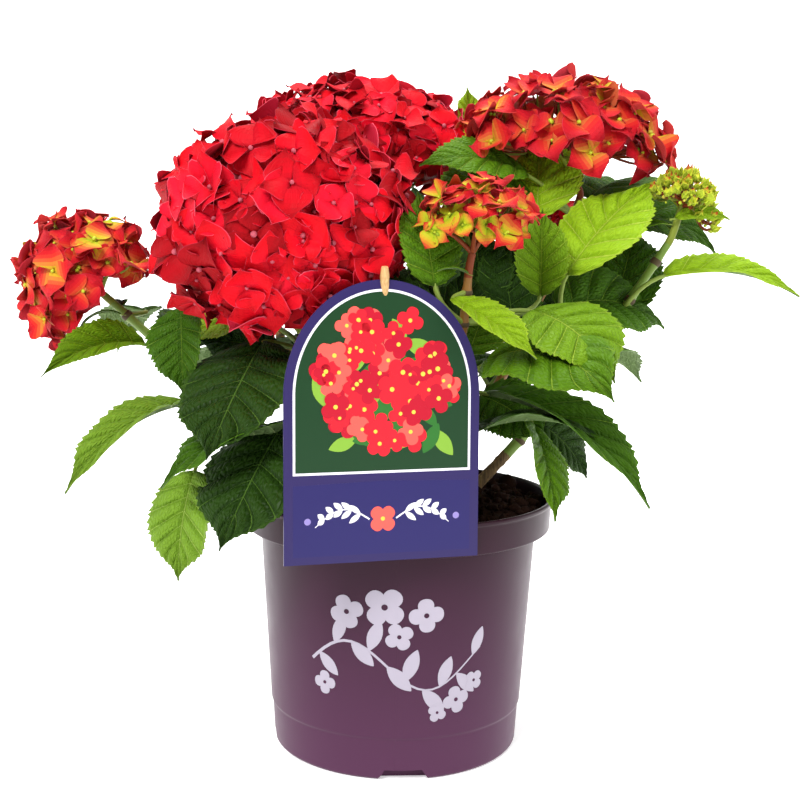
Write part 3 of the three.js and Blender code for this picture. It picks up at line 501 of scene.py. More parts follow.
def sepal_skin(name, colour, roughness, **values):
    """Living sepal: soft and velvety, with fine veins that fan out from its claw. They are
    0.6 mm apart where a sepal is 24 mm wide."""
    material, tree = new_material(name, colour, roughness, **values)
    fan = add_node(tree, "ShaderNodeTexNoise", {
        "Vector": own_map(tree, 2.5, 24 / 0.6), "Scale": 1.0, "Detail": 2.0,
    }, noise_dimensions="2D")
    add_node(tree, "ShaderNodeBump", {
        "Height": fan, "Strength": 0.8, "Distance": 0.5 * MM,
    }, into="Normal")
    add_node(tree, "ShaderNodeMapRange", {
        "Value": fan, "From Min": 0.3, "From Max": 0.7,
        "To Min": roughness - 0.06, "To Max": roughness + 0.08,
    }, into="Roughness")
    return material


def living_skin(name, colour, roughness, cell_mm, relief_mm, **values):
    """Skin of a young stem, stalk or bud: fine cells that catch the light unevenly."""
    material, tree = new_material(name, colour, roughness, **values)
    cells = relief(tree, place(tree), cell_mm, 3.0, 0.5, relief_mm, Roughness=0.6)
    add_node(tree, "ShaderNodeMapRange", {
        "Value": cells, "From Min": 0.3, "From Max": 0.7,
        "To Min": roughness - 0.07, "To Max": roughness + 0.09,
    }, into="Roughness")
    return material


def moulded_polypropylene(colour):
    """Injection-moulded polypropylene: satin, with faint mottling, a fine grain and a thin raised
    line at the front and the back, where the halves of the mould met."""
    material, tree = new_material("moulded_polypropylene", colour, 0.34, Specular_IOR_Level=0.13)
    where = place(tree)
    axes = add_node(tree, "ShaderNodeSeparateXYZ", {"Vector": where})
    # The wall is a little paler towards the foot and darker towards the top: painted shade under the
    # rim and the foliage.
    height = add_node(tree, "ShaderNodeMapRange", {
        "Value": axes.outputs["Z"], "From Max": POT_HEIGHT * MM,
    })
    add_node(tree, "ShaderNodeValToRGB", {"Fac": height}, into="Base Color",
             stops=((0, linear("#532F4A")), (1, colour)))
    mottle = add_node(tree, "ShaderNodeTexNoise", {
        "Vector": where, "Scale": per_metre(18), "Detail": 4.0,
    })
    add_node(tree, "ShaderNodeMapRange", {
        "Value": mottle, "To Min": 0.28, "To Max": 0.42,
    }, into="Roughness")
    grain = add_node(tree, "ShaderNodeTexNoise", {
        "Vector": where, "Scale": per_metre(0.9), "Detail": 2.0,
    })
    bump = add_node(tree, "ShaderNodeBump", {
        "Height": grain, "Strength": 0.25, "Distance": 0.05 * MM,
    })
    aside = add_node(tree, "ShaderNodeMath", {0: axes.outputs["X"]}, operation="ABSOLUTE")
    seam = add_node(tree, "ShaderNodeMapRange", {
        "Value": aside, "From Max": 0.8 * MM, "To Min": 1.0, "To Max": 0.0,
    })
    add_node(tree, "ShaderNodeBump", {
        "Height": seam, "Normal": bump, "Strength": 0.8, "Distance": 0.12 * MM,
    }, into="Normal")
    return material


def printed_ink(name, colour, roughness):
    """Screen-printed ink: flat, with the faintest grain."""
    material, tree = new_material(name, colour, roughness, Specular_IOR_Level=0.25)
    relief(tree, place(tree), 0.7, 2.0, 0.2, 0.03)
    return material


def moist_peat(colour):
    """Moist peat: nearly black fibres with brown lumps and a few pale bark flecks."""
    material, tree = new_material("moist_peat", colour, 0.95, Specular_IOR_Level=0.06)
    where = place(tree)
    lumps = add_node(tree, "ShaderNodeTexNoise", {
        "Vector": where, "Scale": per_metre(9), "Detail": 8.0, "Roughness": 0.7,
    })
    add_node(tree, "ShaderNodeValToRGB", {"Fac": lumps}, into="Base Color", stops=(
        (0.35, tuple(0.45 * c for c in colour)), (0.8, linear("#38221A"))))
    relief(tree, where, 1.6, 6.0, 0.9, 0.8)
    return material


def young_bark(colour):
    """Young hydrangea bark: fawn, with streaks that run up the stem, darker where its relief is low and
    paler where it is high.
    """
    material, tree = new_material("young_bark", colour, 0.75)
    ridges = relief(tree, place(tree, 0.18), 1.5, 5.0, 0.8, 0.5)
    add_node(tree, "ShaderNodeValToRGB", {"Fac": ridges}, into="Base Color", stops=(
        (0.35, tuple(0.5 * c for c in colour)), (0.65, tuple(min(1, 1.5 * c) for c in colour))))
    return material


def dry_bamboo():
    """Dry bamboo: pale tan, with fine fibres along the cane."""
    material, tree = new_material("dry_bamboo", linear("#CFA266"), 0.5)
    fibres = add_node(tree, "ShaderNodeTexNoise", {
        "Vector": place(tree, 0.06), "Scale": per_metre(0.8), "Detail": 4.0,
    })
    add_node(tree, "ShaderNodeValToRGB", {"Fac": fibres}, into="Base Color", stops=(
        (0.3, linear("#A87C42")), (0.7, linear("#DDB67C"))))
    return material


# Small closed meshes that are stamped many times. u and v say where a point lies, under whether
# it is on the underside, and row, column and side where each face lies.

TOP, UNDERNEATH, EDGE = range(3)
Blank = namedtuple("Blank", "u uv loops sizes v under row column side", defaults=(None,) * 5)


def points_and_faces(bm):
    """A bmesh's points, the corners of all its faces and how many corners each one has."""
    bm.verts.index_update()
    return (np.array([vert.co for vert in bm.verts]),
            np.array([loop.vert.index for face in bm.faces for loop in face.loops]),
            np.array([len(face.loops) for face in bm.faces]))


@lru_cache(maxsize=None)
def sheet_blank(rows, columns):
    """A flat closed sheet: u runs from 0 to 1 along it, v from -1 to 1 across it."""
    bm = bmesh.new()
    bmesh.ops.create_grid(bm, x_segments=rows, y_segments=columns, size=1)
    bmesh.ops.solidify(bm, geom=bm.faces[:], thickness=0.1)
    bmesh.ops.recalc_face_normals(bm, faces=bm.faces[:])
    points, loops, sizes = points_and_faces(bm)
    centres = (np.array([face.calc_center_median() for face in bm.faces]) + 1) / 2
    facing = np.array([face.normal.z for face in bm.faces])
    bm.free()
    return Blank(
        u=(points[:, 0] + 1) / 2,
        v=points[:, 1],
        under=points[:, 2] < points[:, 2].mean(),
        uv=(points[:, :2] + 1) / 2,
        loops=loops,
        sizes=sizes,
        row=np.clip((centres[:, 0] * rows).astype(int), 0, rows - 1),
        column=np.clip((centres[:, 1] * columns).astype(int), 0, columns - 1),
        side=np.where(facing > 0.5, TOP, np.where(facing < -0.5, UNDERNEATH, EDGE)),
    )


@lru_cache(maxsize=None)
def tube_blank(sides, rows):
    """A closed tube: u runs from 0 to 1 along it, v is the angle round it."""
    bm = bmesh.new()
    bmesh.ops.create_cone(bm, cap_ends=True, segments=sides, radius1=1, radius2=1, depth=2)
    upright = [e for e in bm.edges if abs(e.verts[0].co.z - e.verts[1].co.z) > 1]
    bmesh.ops.subdivide_edges(bm, edges=upright, cuts=rows - 1, use_grid_fill=True)
    bmesh.ops.recalc_face_normals(bm, faces=bm.faces[:])
    points, loops, sizes = points_and_faces(bm)
    bm.free()
    along = (points[:, 2] + 1) / 2
    return Blank(
        u=along, v=np.arctan2(points[:, 1], points[:, 0]),
        uv=np.stack([along, (points[:, 0] + 1) / 2], axis=1), loops=loops, sizes=sizes,
    )


@lru_cache(maxsize=None)
def bead_blank(level):
    """A closed ball with a radius of 1. Its u holds its points."""
    bm = bmesh.new()
    bmesh.ops.create_icosphere(bm, subdivisions=level, radius=1)
    points, loops, sizes = points_and_faces(bm)
    bm.free()
    return Blank(u=points, uv=(points[:, :2] + 1) / 2, loops=loops, sizes=sizes)


class Stamps:
    """Collects stamped blanks, each with its points in millimetres and a slot for each face."""

    def __init__(self):
        self.points, self.loops, self.sizes, self.slots, self.uvs = [], [], [], [], []
        self.count = 0

    def add(self, blank, points, slots):
        """points is one set for the blank, or several sets that stamp it as often."""
        sets = points.reshape(-1, points.shape[-2], 3)
        each = points.shape[-2]
        slots = np.broadcast_to(slots, (len(sets), len(blank.sizes)))
        shift = self.count + each * np.arange(len(sets))[:, None]
        self.points.append(sets.reshape(-1, 3))
        self.loops.append((blank.loops[None, :] + shift).ravel())
        self.sizes.append(np.tile(blank.sizes, len(sets)))
        self.slots.append(slots.ravel())
        self.uvs.append(np.tile(blank.uv[blank.loops], (len(sets), 1)))
        self.count += each * len(sets)

    def tube(self, start, bend, end, radius, sides, slot):
        """A bent round stalk, with a radius for each of its rings."""
        path = bezier(start, bend, end, np.linspace(0, 1, len(radius)))
        self.add(*tube_points(path, radius, sides), slot)

    def piece(self, name, materials):
        """The stamps as one smooth-shaded object."""
        points, loops, sizes, slots, uvs = (
            np.concatenate(part)
            for part in (self.points, self.loops, self.sizes, self.slots, self.uvs))
        mesh = bpy.data.meshes.new(name)
        mesh.vertices.add(len(points))
        mesh.vertices.foreach_set("co", (points * MM).astype(np.float32).ravel())
        mesh.loops.add(len(loops))
        mesh.loops.foreach_set("vertex_index", loops.astype(np.int32))
        mesh.polygons.add(len(sizes))
        starts = np.concatenate([[0], np.cumsum(sizes)[:-1]])
        mesh.polygons.foreach_set("loop_start", starts.astype(np.int32))
        mesh.polygons.foreach_set("material_index", slots.astype(np.int32))
        mesh.polygons.foreach_set("use_smooth", np.ones(len(sizes), bool))
        mesh.update(calc_edges=True)
        own = mesh.uv_layers.new(name="own_map", do_init=False)
        own.uv.foreach_set("vector", uvs.astype(np.float32).ravel())
        # The thin edge of a blade or sepal must not round off the shading of its face
        mesh.set_sharp_from_angle(angle=math.radians(SHEET_SHARP_ANGLE))
        return new_piece(name, mesh, materials)


def new_piece(name, mesh, materials=()):
    for material in materials:
        mesh.materials.append(material)
    piece = bpy.data.objects.new(name, mesh)
    bpy.context.scene.collection.objects.link(piece)
    return piece


def finish_piece(piece, slot, *nodes):
    """Lets a piece ride on the plant's one body, and hides the imported parts that it stands for. slot,
    its finish, is not used.
    """
    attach(piece, "root")
    if nodes:
        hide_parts(*nodes)


def mesh_from(bm, name, materials):
    """A finished bmesh in millimetres as a smooth-shaded object in metres."""
    bmesh.ops.scale(bm, vec=(MM, MM, MM), verts=bm.verts)
    mesh = bpy.data.meshes.new(name)
    bm.to_mesh(mesh)
    bm.free()
    mesh.shade_smooth()
    return new_piece(name, mesh, materials)


def apply_modifiers(piece):
    """Replaces the piece's mesh by the one that its modifiers give."""
    graph = bpy.context.evaluated_depsgraph_get()
    mesh = bpy.data.meshes.new_from_object(piece.evaluated_get(graph))
    piece.modifiers.clear()
    piece.data = mesh


# Curves and directions

def unit(vectors):
    return vectors / np.linalg.norm(vectors, axis=-1, keepdims=True)


def bezier(start, bend, end, shares):
    t = np.asarray(shares, float)[:, None]
    start, bend, end = (np.array(p, float) for p in (start, bend, end))
    return (1 - t) ** 2 * start + 2 * t * (1 - t) * bend + t ** 2 * end


def shoot_points(name, shares):
    foot, bend, neck = SHOOTS[name]
    return bezier((*foot, STEM_FOOT), bend, neck, shares)


def stem_radius(shares):
    return STEM_FOOT_RADIUS + (STEM_TIP_RADIUS - STEM_FOOT_RADIUS) * np.asarray(shares, float)


def tube_points(path, radius, sides):
    """A tube blank and its points along a path, with a radius for each point of the path."""
    rows = len(path) - 1
    blank = tube_blank(sides, rows)
    tangents = unit(np.gradient(path, axis=0))
    side = np.array((1.0, 0.0, 0.0)) if abs(tangents[0][0]) < 0.9 else np.array((0.0, 1.0, 0.0))
    sideways = []
    for tangent in tangents:
        side = side - tangent * side.dot(tangent)
        side = side / np.linalg.norm(side)
        sideways.append(side)
    sideways = np.array(sideways)
    upwards = np.cross(tangents, sideways)
    row = np.rint(blank.u * rows).astype(int)
    reach = radius[row]
    return blank, (path[row]
                   + sideways[row] * (reach * np.cos(blank.v))[:, None]
                   + upwards[row] * (reach * np.sin(blank.v))[:, None])


def cap_directions(face, count, spread):
    """Directions spread evenly over a cap about an axis, out to an angle in degrees."""
    axis = unit(np.array(face, float))
    side = unit(np.cross((0, 1, 0), axis))
    up = np.cross(axis, side)
    golden = math.pi * (3 - math.sqrt(5))
    i = np.arange(count)
    height = 1 - (1 - math.cos(math.radians(spread))) * ((i + 0.5) / count)
    ring = np.sqrt(1 - height ** 2)
    angle = i * golden
    return (height[:, None] * axis + (ring * np.cos(angle))[:, None] * side
            + (ring * np.sin(angle))[:, None] * up)


def dice(seed):
    """The seeded random numbers of the solid plant's rule."""
    mask = 0xFFFFFFFF
    state = seed * 7919

    def roll():
        nonlocal state
        state = (state + 0x6D2B79F5) & mask
        t = ((state ^ (state >> 15)) * (1 | state)) & mask
        t = ((t + (((t ^ (t >> 7)) * (61 | t)) & mask)) & mask) ^ t
        return (t ^ (t >> 14)) / (mask + 1)

    return roll


# Leaves

def midrib(leaf):
    """Places and directions along a leaf's midrib: place, tangent, left, up."""
    step = leaf.length / MIDRIB_STEPS
    share = np.linspace(0, 1, MIDRIB_STEPS + 1)
    bearing = math.radians(leaf.bearing)
    slope = np.radians(leaf.lift - leaf.droop * share)
    tangent = np.stack([
        math.cos(bearing) * np.cos(slope), math.sin(bearing) * np.cos(slope), np.sin(slope)], axis=1)
    steps = np.vstack([np.zeros(3), tangent[:-1] * step])
    places = np.array(leaf.base, float) + np.cumsum(steps, axis=0)
    level = np.array((-math.sin(bearing), math.cos(bearing), 0.0))
    roll = math.radians(leaf.roll)
    left = level * math.cos(roll) + np.cross(tangent, level) * math.sin(roll)
    up = np.cross(tangent, left)
    return places, tangent, left, up


def half_width(leaf, share):
    a, b = OUTLINE_BASE, OUTLINE_TIP
    peak = (a / (a + b)) ** a * (b / (a + b)) ** b
    share = np.clip(share, 0, 1)
    return leaf.width / 2 * share ** a * (1 - share) ** b / peak


def blade_blank():
    return sheet_blank(VEINS * ROWS_PER_VEIN, BLADE_COLUMNS)


@lru_cache(maxsize=None)
def blade_zones():
    """The zone of each face of a blade."""
    blank = blade_blank()
    middle = BLADE_COLUMNS // 2
    vein = (blank.row % ROWS_PER_VEIN == 0) | (blank.column == middle)
    # Crests of the quilts between the side veins, painted lighter as a highlight
    crest_highlight = np.isin(blank.row % ROWS_PER_VEIN, (2, 3, 4)) & (abs(blank.column - middle) > 1)
    margin = (blank.column == 0) | (blank.column == BLADE_COLUMNS - 1)
    top = np.where(vein, VEIN, np.where(margin, MARGIN, np.where(crest_highlight, CREST_HIGHLIGHT, BLADE)))
    below = np.where(vein, UNDER_VEIN, UNDER)
    return np.where(blank.side == TOP, top, np.where(blank.side == UNDERNEATH, below, MARGIN))


@lru_cache(maxsize=None)
def blade_grid():
    """The blade's vein-aligned coordinates: s along the midrib, v across, and the place of each
    row between two veins."""
    blank = blade_blank()
    rows = VEINS * ROWS_PER_VEIN
    row = np.rint(blank.u * rows).astype(int)
    column = np.rint((blank.v + 1) / 2 * BLADE_COLUMNS).astype(int)
    between = np.array(VEIN_ROWS)[row % ROWS_PER_VEIN]
    s = np.clip((row // ROWS_PER_VEIN + between) / VEINS, 0, 1)
    across = np.array(BLADE_STOPS)
    stops = np.concatenate([-across[::-1], across])
    last = row == rows
    return row, np.where(last, 1, s), stops[column], np.where(last, 0, between)


def blade_points(leaf, rng):
    """The points of one leaf blade: quilted between its side veins, toothed along its margin."""
    sizes = bpy.context.scene.hydrangea_sizes
    blank = blade_blank()
    row, s, v, between = blade_grid()
    reach = np.abs(v)
    tooth = (row % 2 == 1) * (reach == 1) * np.clip(TOOTH_FADE * (TOOTH_END - s), 0, 1)
    share = 1 - (1 - s) ** (1 + VEIN_SWEEP * reach ** VEIN_BEND)
    share = np.clip(share + tooth * TOOTH_FORWARD / leaf.length, 0, 1)
    # The blade draws in to a long point
    point = np.clip((share - POINT_START) / (1 - POINT_START), 0, 1)
    width = half_width(leaf, share) * (1 - POINT_DRAW * point * point * (3 - 2 * point))
    tooth_depth = sizes.tooth_depth / MM * min(1, leaf.width / TOOTHED_WIDTH)
    teeth = tooth * tooth_depth * np.minimum(1, width / TOOTH_HALF_WIDTH)
    width = np.maximum(width - tooth_depth * TOOTH_INSET, 0) + teeth
    y = v * (width + TIP_HALF_WIDTH)

    stations = np.linspace(0, 1, MIDRIB_STEPS + 1)
    centre, _, leftward, upward = (
        np.stack([np.interp(share, stations, table[:, i]) for i in range(3)], axis=1)
        for table in midrib(leaf))
    leftward, upward = unit(leftward), unit(upward)

    quilt = sizes.quilt_height / MM * min(1, leaf.width / QUILTED_WIDTH)
    swell = np.sin(np.pi * np.clip(between, 0, 1)) ** QUILT_ROUNDNESS
    body = np.clip(reach / QUILT_START, 0, 1) * (1 - reach ** 6) * np.clip(4 * (1 - s), 0, 1)
    rise = quilt * swell * body
    rise -= QUILT_DIP * quilt * (1 - swell) * body
    on_midrib = reach == BLADE_STOPS[0]
    rise -= MIDRIB_GROOVE * on_midrib
    fold = math.radians(leaf.fold)
    phase = rng.uniform(0, 2 * math.pi, 3)
    # The margins sag and wave, but not where the blade is narrow
    wave = -rng.uniform(*SAG) * reach ** 2.2
    wave += LONG_WAVE * np.sin(2 * math.pi * LONG_WAVES * s + phase[0]) * reach ** 2 * np.sign(v)
    wave += SHORT_WAVE * np.sin(2 * math.pi * SHORT_WAVES * s + phase[1]) * reach ** 3
    rise += leaf.width * wave * np.clip(width / (0.25 * leaf.width), 0, 1)
    # The underside carries the veins as ribs
    vein_row = np.isin(row % ROWS_PER_VEIN, (0, 1)) & (reach < 1)
    rib = np.where(vein_row, VEIN_RIB * (1 - reach), 0)
    rib = np.where(on_midrib, MIDRIB_RIB * (1 - 0.7 * s), rib)
    rib = rib * min(1, leaf.width / RIBBED_WIDTH)
    depth = sizes.leaf_thickness / MM + rib
    rise = rise - np.where(blank.under, depth, 0)
    return (centre
            + leftward * (y * math.cos(fold))[:, None]
            + upward * (np.abs(y) * math.sin(fold) + rise)[:, None])


def nearest_joint(name, leaf):
    """The joint of a shoot that a leaf's stalk grows from: the nearest one behind its blade."""
    if leaf.joint:
        return shoot_points(name, (leaf.joint,))[0]
    joints = shoot_points(name, JOINTS)
    behind = np.array(leaf.base, float) - midrib(leaf)[1][0] * 15
    return joints[np.argmin(np.linalg.norm(joints - behind, axis=1))]


def solid_points(node):
    """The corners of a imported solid, in millimetres."""
    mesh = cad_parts[node].data
    points = np.empty(len(mesh.vertices) * 3, np.float32)
    mesh.vertices.foreach_get("co", points)
    return points.reshape(-1, 3) / MM


def paired_leaves(name):
    """The pairs of a shoot by the solid plant's rule. Of the tries for each leaf, the one whose
    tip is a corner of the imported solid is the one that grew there."""
    towards, reach, up_to, seed = PAIRED_LEAVES[name]
    roll = dice(seed)
    corners = solid_points(f"foliage_{name}")

    def wander(kind):
        return (roll() * 2 - 1) * PAIR_WANDER[kind]

    start = roll() * 180
    grown = []
    for row, (joint, origin) in enumerate(zip(JOINTS, shoot_points(name, JOINTS))):
        for half in (0, 180):
            bearing = start + row * 90 + half + wander("bearing")
            size = 1 + wander("size")
            lift = PAIR_LIFT + wander("lift")
            droop = PAIR_DROOP + wander("droop")
            away = abs(((bearing - towards + 540) % 360) - 180)
            if away > reach or joint > up_to:
                continue
            tilt = wander("roll")
            for aside, share in TRIES:
                turn, rise = math.radians(bearing + aside), math.radians(PAIR_RISE)
                outward = np.array((
                    math.cos(turn) * math.cos(rise), math.sin(turn) * math.cos(rise), math.sin(rise)))
                leaf = Leaf(
                    name, tuple(origin + outward * PAIR_STALK * share), bearing + aside, lift, droop,
                    PAIR_LENGTH * size * share, PAIR_WIDTH * size * share, PAIR_FOLD, tilt,
                    "mid" if still_growing(row, seed) else "dark")
                if np.linalg.norm(corners - midrib(leaf)[0][-1], axis=1).min() < 0.5:
                    grown.append((leaf, origin))
                    break
    return grown


def still_growing(row, seed):
    """True for about two pairs in three, without a draw from the dice."""
    return (row * 5 + seed) % 3 > 0


def stalk_path(start, leaf):
    """The start, bend and end of a leaf stalk that leaves its joint outwards and bends up into
    the blade."""
    base = np.array(leaf.base, float)
    _, tangent, _, up = midrib(leaf)
    reach = np.linalg.norm(base - start)
    # A stalk that starts beside the blade, not behind it, has less of a bend
    ahead = max(0, np.dot(base - start, tangent[0]) / reach)
    bend = base - tangent[0] * reach * (0.12 + 0.36 * ahead) - up[0] * 0.8
    return start, bend, base + tangent[0] * 2 - up[0] * 0.9


# Florets

def sepal_blank():
    return sheet_blank(SEPAL_ROWS, SEPAL_COLUMNS)


@lru_cache(maxsize=None)
def sepal_zones():
    """The zone of each face of a sepal."""
    blank = sepal_blank()
    outer = (blank.column == 0) | (blank.column == SEPAL_COLUMNS - 1)
    top = np.where(outer & (blank.row > 1), SEPAL_RIM, blank.row)
    below = np.where(blank.side == UNDERNEATH, SEPAL_BACK, SEPAL_RIM)
    return np.where(blank.side == TOP, top, below)


def sepal_points(centres, normals, radii, rng, habit):
    """The points of four sepals round each centre, as (florets, 4, points, 3)."""
    thickness = bpy.context.scene.hydrangea_sizes.sepal_thickness / MM
    blank = sepal_blank()
    count = len(centres)
    side = unit(np.cross(np.array((0.3, 0.2, 1.0)), normals))
    up = np.cross(normals, side)
    turn = rng.uniform(0, math.pi, count)[:, None] + np.arange(4) * math.pi / 2
    turn = turn + rng.normal(0, SEPAL_WANDER["turn"], (count, 4))
    radial = np.cos(turn)[..., None] * side[:, None] + np.sin(turn)[..., None] * up[:, None]
    across = np.cross(normals[:, None], radial)
    length = radii[:, None] * rng.uniform(*SEPAL_LENGTHS, (count, 4))
    least, most = habit.width - SEPAL_WANDER["width"], habit.width + SEPAL_WANDER["width"]
    broad = length * rng.uniform(least, most, (count, 4))
    lift = rng.normal(habit.lift, habit.wander, (count, 1))
    lift = lift + rng.normal(0, SEPAL_WANDER["lift"], (count, 4))
    curl = rng.normal(habit.curl, SEPAL_WANDER["curl"], (count, 4))
    tilt = rng.normal(habit.tilt, SEPAL_WANDER["tilt"], (count, 4))
    crease = rng.normal(MEAN_CREASE, habit.crease, (count, 4))
    skew = rng.normal(0, SEPAL_WANDER["skew"], (count, 4))
    phase = rng.uniform(0, 2 * math.pi, (count, 4))
    length, broad, lift, curl, tilt, crease, skew, phase = (
        table[..., None] for table in (length, broad, lift, curl, tilt, crease, skew, phase))

    a = blank.u
    b = np.array(SEPAL_STOPS)[np.rint((blank.v + 1) / 2 * SEPAL_COLUMNS).astype(int)]
    # Broad from its foot, widest before the middle, then nearly straight to a pointed tip
    widest = SEPAL_FOOT / (SEPAL_FOOT + SEPAL_TIP)
    peak = widest ** SEPAL_FOOT * (1 - widest) ** SEPAL_TIP
    half = broad * a ** SEPAL_FOOT * (1 - a) ** SEPAL_TIP / peak + CLAW_HALF_WIDTH
    r = length * (CLAW_START + (1 - CLAW_START) * a) * np.cos(lift)
    y = b * half + skew * length * a * a
    z = length * (np.sin(lift) * a - curl * a ** 2.4)
    z = z + tilt * y - crease * half * np.abs(b) ** 1.4
    z = z + SEPAL_RIPPLE * length * np.sin(6 * a + phase) * b * np.abs(b)
    z = z + np.array(SEPAL_STACK)[:, None] - np.where(blank.under, thickness, 0)
    return (centres[:, None, None]
            + radial[:, :, None] * r[..., None]
            + across[:, :, None] * y[..., None]
            + normals[:, None, None] * z[..., None])


def bead_points(centres, normals, radii, sink, level=1):
    """Balls that stand along the normals, each sunk by a share of its radius."""
    ball = bead_blank(level)
    seat = centres + normals * (radii * (1 - sink))[:, None]
    return ball, seat[:, None] + ball.u[None] * radii[:, None, None]


# Flat ornaments, drawn as small sheets and then laid on a surface

def crowded(u):
    """Shares that crowd together at both ends, where an outline turns most."""
    return (1 - np.cos(math.pi * u)) / 2


def drawn_leaf(u, v, length, width):
    """A pointed oval outline along +x."""
    share = crowded(u)
    return length * share, v * (width / 2 * np.sin(math.pi * share) ** 0.8 + 0.05)


def drawn_petal(u, v, length, width):
    """A broad petal along +x, narrow at its foot."""
    share = crowded(u)
    half = width / 2 * (share ** 0.6 * (1 - share) ** 0.45) / 0.51 + 0.05
    return length * share, v * half


def drawn_disc(u, v, radius, _):
    x, y = 2 * u - 1, v
    return radius * x * np.sqrt(1 - y * y / 2), radius * y * np.sqrt(1 - x * x / 2)


class Print:
    """An ornament of thin raised shapes on a surface. lay turns x, height and rise in
    millimetres into points of the surface and above it."""

    def __init__(self, lay, thickness):
        self.lay, self.thickness, self.stamps = lay, thickness, Stamps()

    def add(self, blank, x, z, slot, layer):
        """Lays a sheet on the surface, or on the layers below it."""
        rise = self.thickness * (layer + 1) - np.where(blank.under, self.thickness * 0.9, 0)
        self.stamps.add(blank, self.lay(x, z, rise), slot)

    def shape(self, outline, x, z, angle, length, width, slot, layer=0, rows=12, columns=2):
        blank = sheet_blank(rows, columns)
        along, across = outline(blank.u, blank.v, length, width)
        turn = math.radians(angle)
        px = x + along * math.cos(turn) - across * math.sin(turn)
        pz = z + along * math.sin(turn) + across * math.cos(turn)
        self.add(blank, px, pz, slot, layer)

    def ribbon(self, path, width, slot, layer=0):
        """A band along a path of (x, z) points, with a width for each point."""
        rows = len(path) - 1
        blank = sheet_blank(rows, 1)
        row = np.rint(blank.u * rows).astype(int)
        tangent = unit(np.gradient(path, axis=0))[row]
        half = (width / 2)[row]
        px = path[row, 0] - tangent[:, 1] * blank.v * half
        pz = path[row, 1] + tangent[:, 0] * blank.v * half
        self.add(blank, px, pz, slot, layer)

    def panel(self, foot, width, height, arch, slot, layer, rows=40, columns=12):
        """An upright panel with an arched top, as one sheet."""
        blank = sheet_blank(rows, columns)
        x, z = arched(blank, width, height, arch)
        self.add(blank, x, foot + z, slot, layer)

    def flower(self, x, z, radius, angle, petal_slot, eye_slot, layer=0):
        for k in range(4):
            self.shape(drawn_petal, x, z, angle + 90 * k, radius, radius * 0.95, petal_slot,
                       layer + 0.15 * (k % 2))
        self.shape(drawn_disc, x, z, 0, radius * 0.15, 0, eye_slot, layer + 1, 4, 4)


# Pot

def pot_radius(z):
    """The pot's outer radius at a height below the band."""
    if z < STEP_HEIGHT:
        return BASE_RADIUS + (FLARED_RADIUS - BASE_RADIUS) * z / STEP_HEIGHT
    low, low_radius = STEP_HEIGHT + STEP_RISE, FLARED_RADIUS + STEP_OUT
    return low_radius + (NECK_RADIUS - low_radius) * max(0, z - low) / (BAND_FOOT - low)


def eased(outline, radius):
    """An outline with each corner between its two ends rounded."""
    points = [np.array(p, float) for p in outline]
    result = [points[0]]
    for before, corner, after in zip(points, points[1:], points[2:]):
        back, ahead = before - corner, after - corner
        cut = min(radius, np.linalg.norm(back) * 0.45, np.linalg.norm(ahead) * 0.45)
        a, b = corner + unit(back) * cut, corner + unit(ahead) * cut
        result.extend(bezier(a, corner, b, np.linspace(0, 1, CORNER_STEPS + 1)))
    result.append(points[-1])
    return result


def spun(outline, steps):
    """A closed body of revolution about Z from an outline that starts and ends on the axis."""
    bm = bmesh.new()
    verts = [bm.verts.new((r, 0, z)) for r, z in outline]
    edges = [bm.edges.new(pair) for pair in zip(verts, verts[1:])]
    bmesh.ops.spin(
        bm, geom=verts + edges, cent=(0, 0, 0), axis=(0, 0, 1), dvec=(0, 0, 0),
        angle=2 * math.pi, steps=steps, use_merge=True,
    )
    bmesh.ops.remove_doubles(bm, verts=bm.verts, dist=0.01)
    bmesh.ops.recalc_face_normals(bm, faces=bm.faces)
    return bm


def notch_cutters():
    """The four wedges that cut the notches up into the pot's foot."""
    bm = bmesh.new()
    for i in range(NOTCH_COUNT):
        made = bmesh.ops.create_cube(bm, size=1)["verts"]
        reach = BASE_RADIUS + CUTTER_PAST - NOTCH_INNER
        for vert in made:
            width = NOTCH_TOP if vert.co.z > 0 else NOTCH_FOOT + CUTTER_WIDER
            height = NOTCH_HEIGHT if vert.co.z > 0 else -CUTTER_BELOW
            vert.co = (NOTCH_INNER + (vert.co.x + 0.5) * reach, vert.co.y * width, height)
        turn = Matrix.Rotation(math.radians(NOTCH_BEARING + i * 360 / NOTCH_COUNT), 3, "Z")
        bmesh.ops.rotate(bm, verts=made, cent=(0, 0, 0), matrix=turn)
    return bm


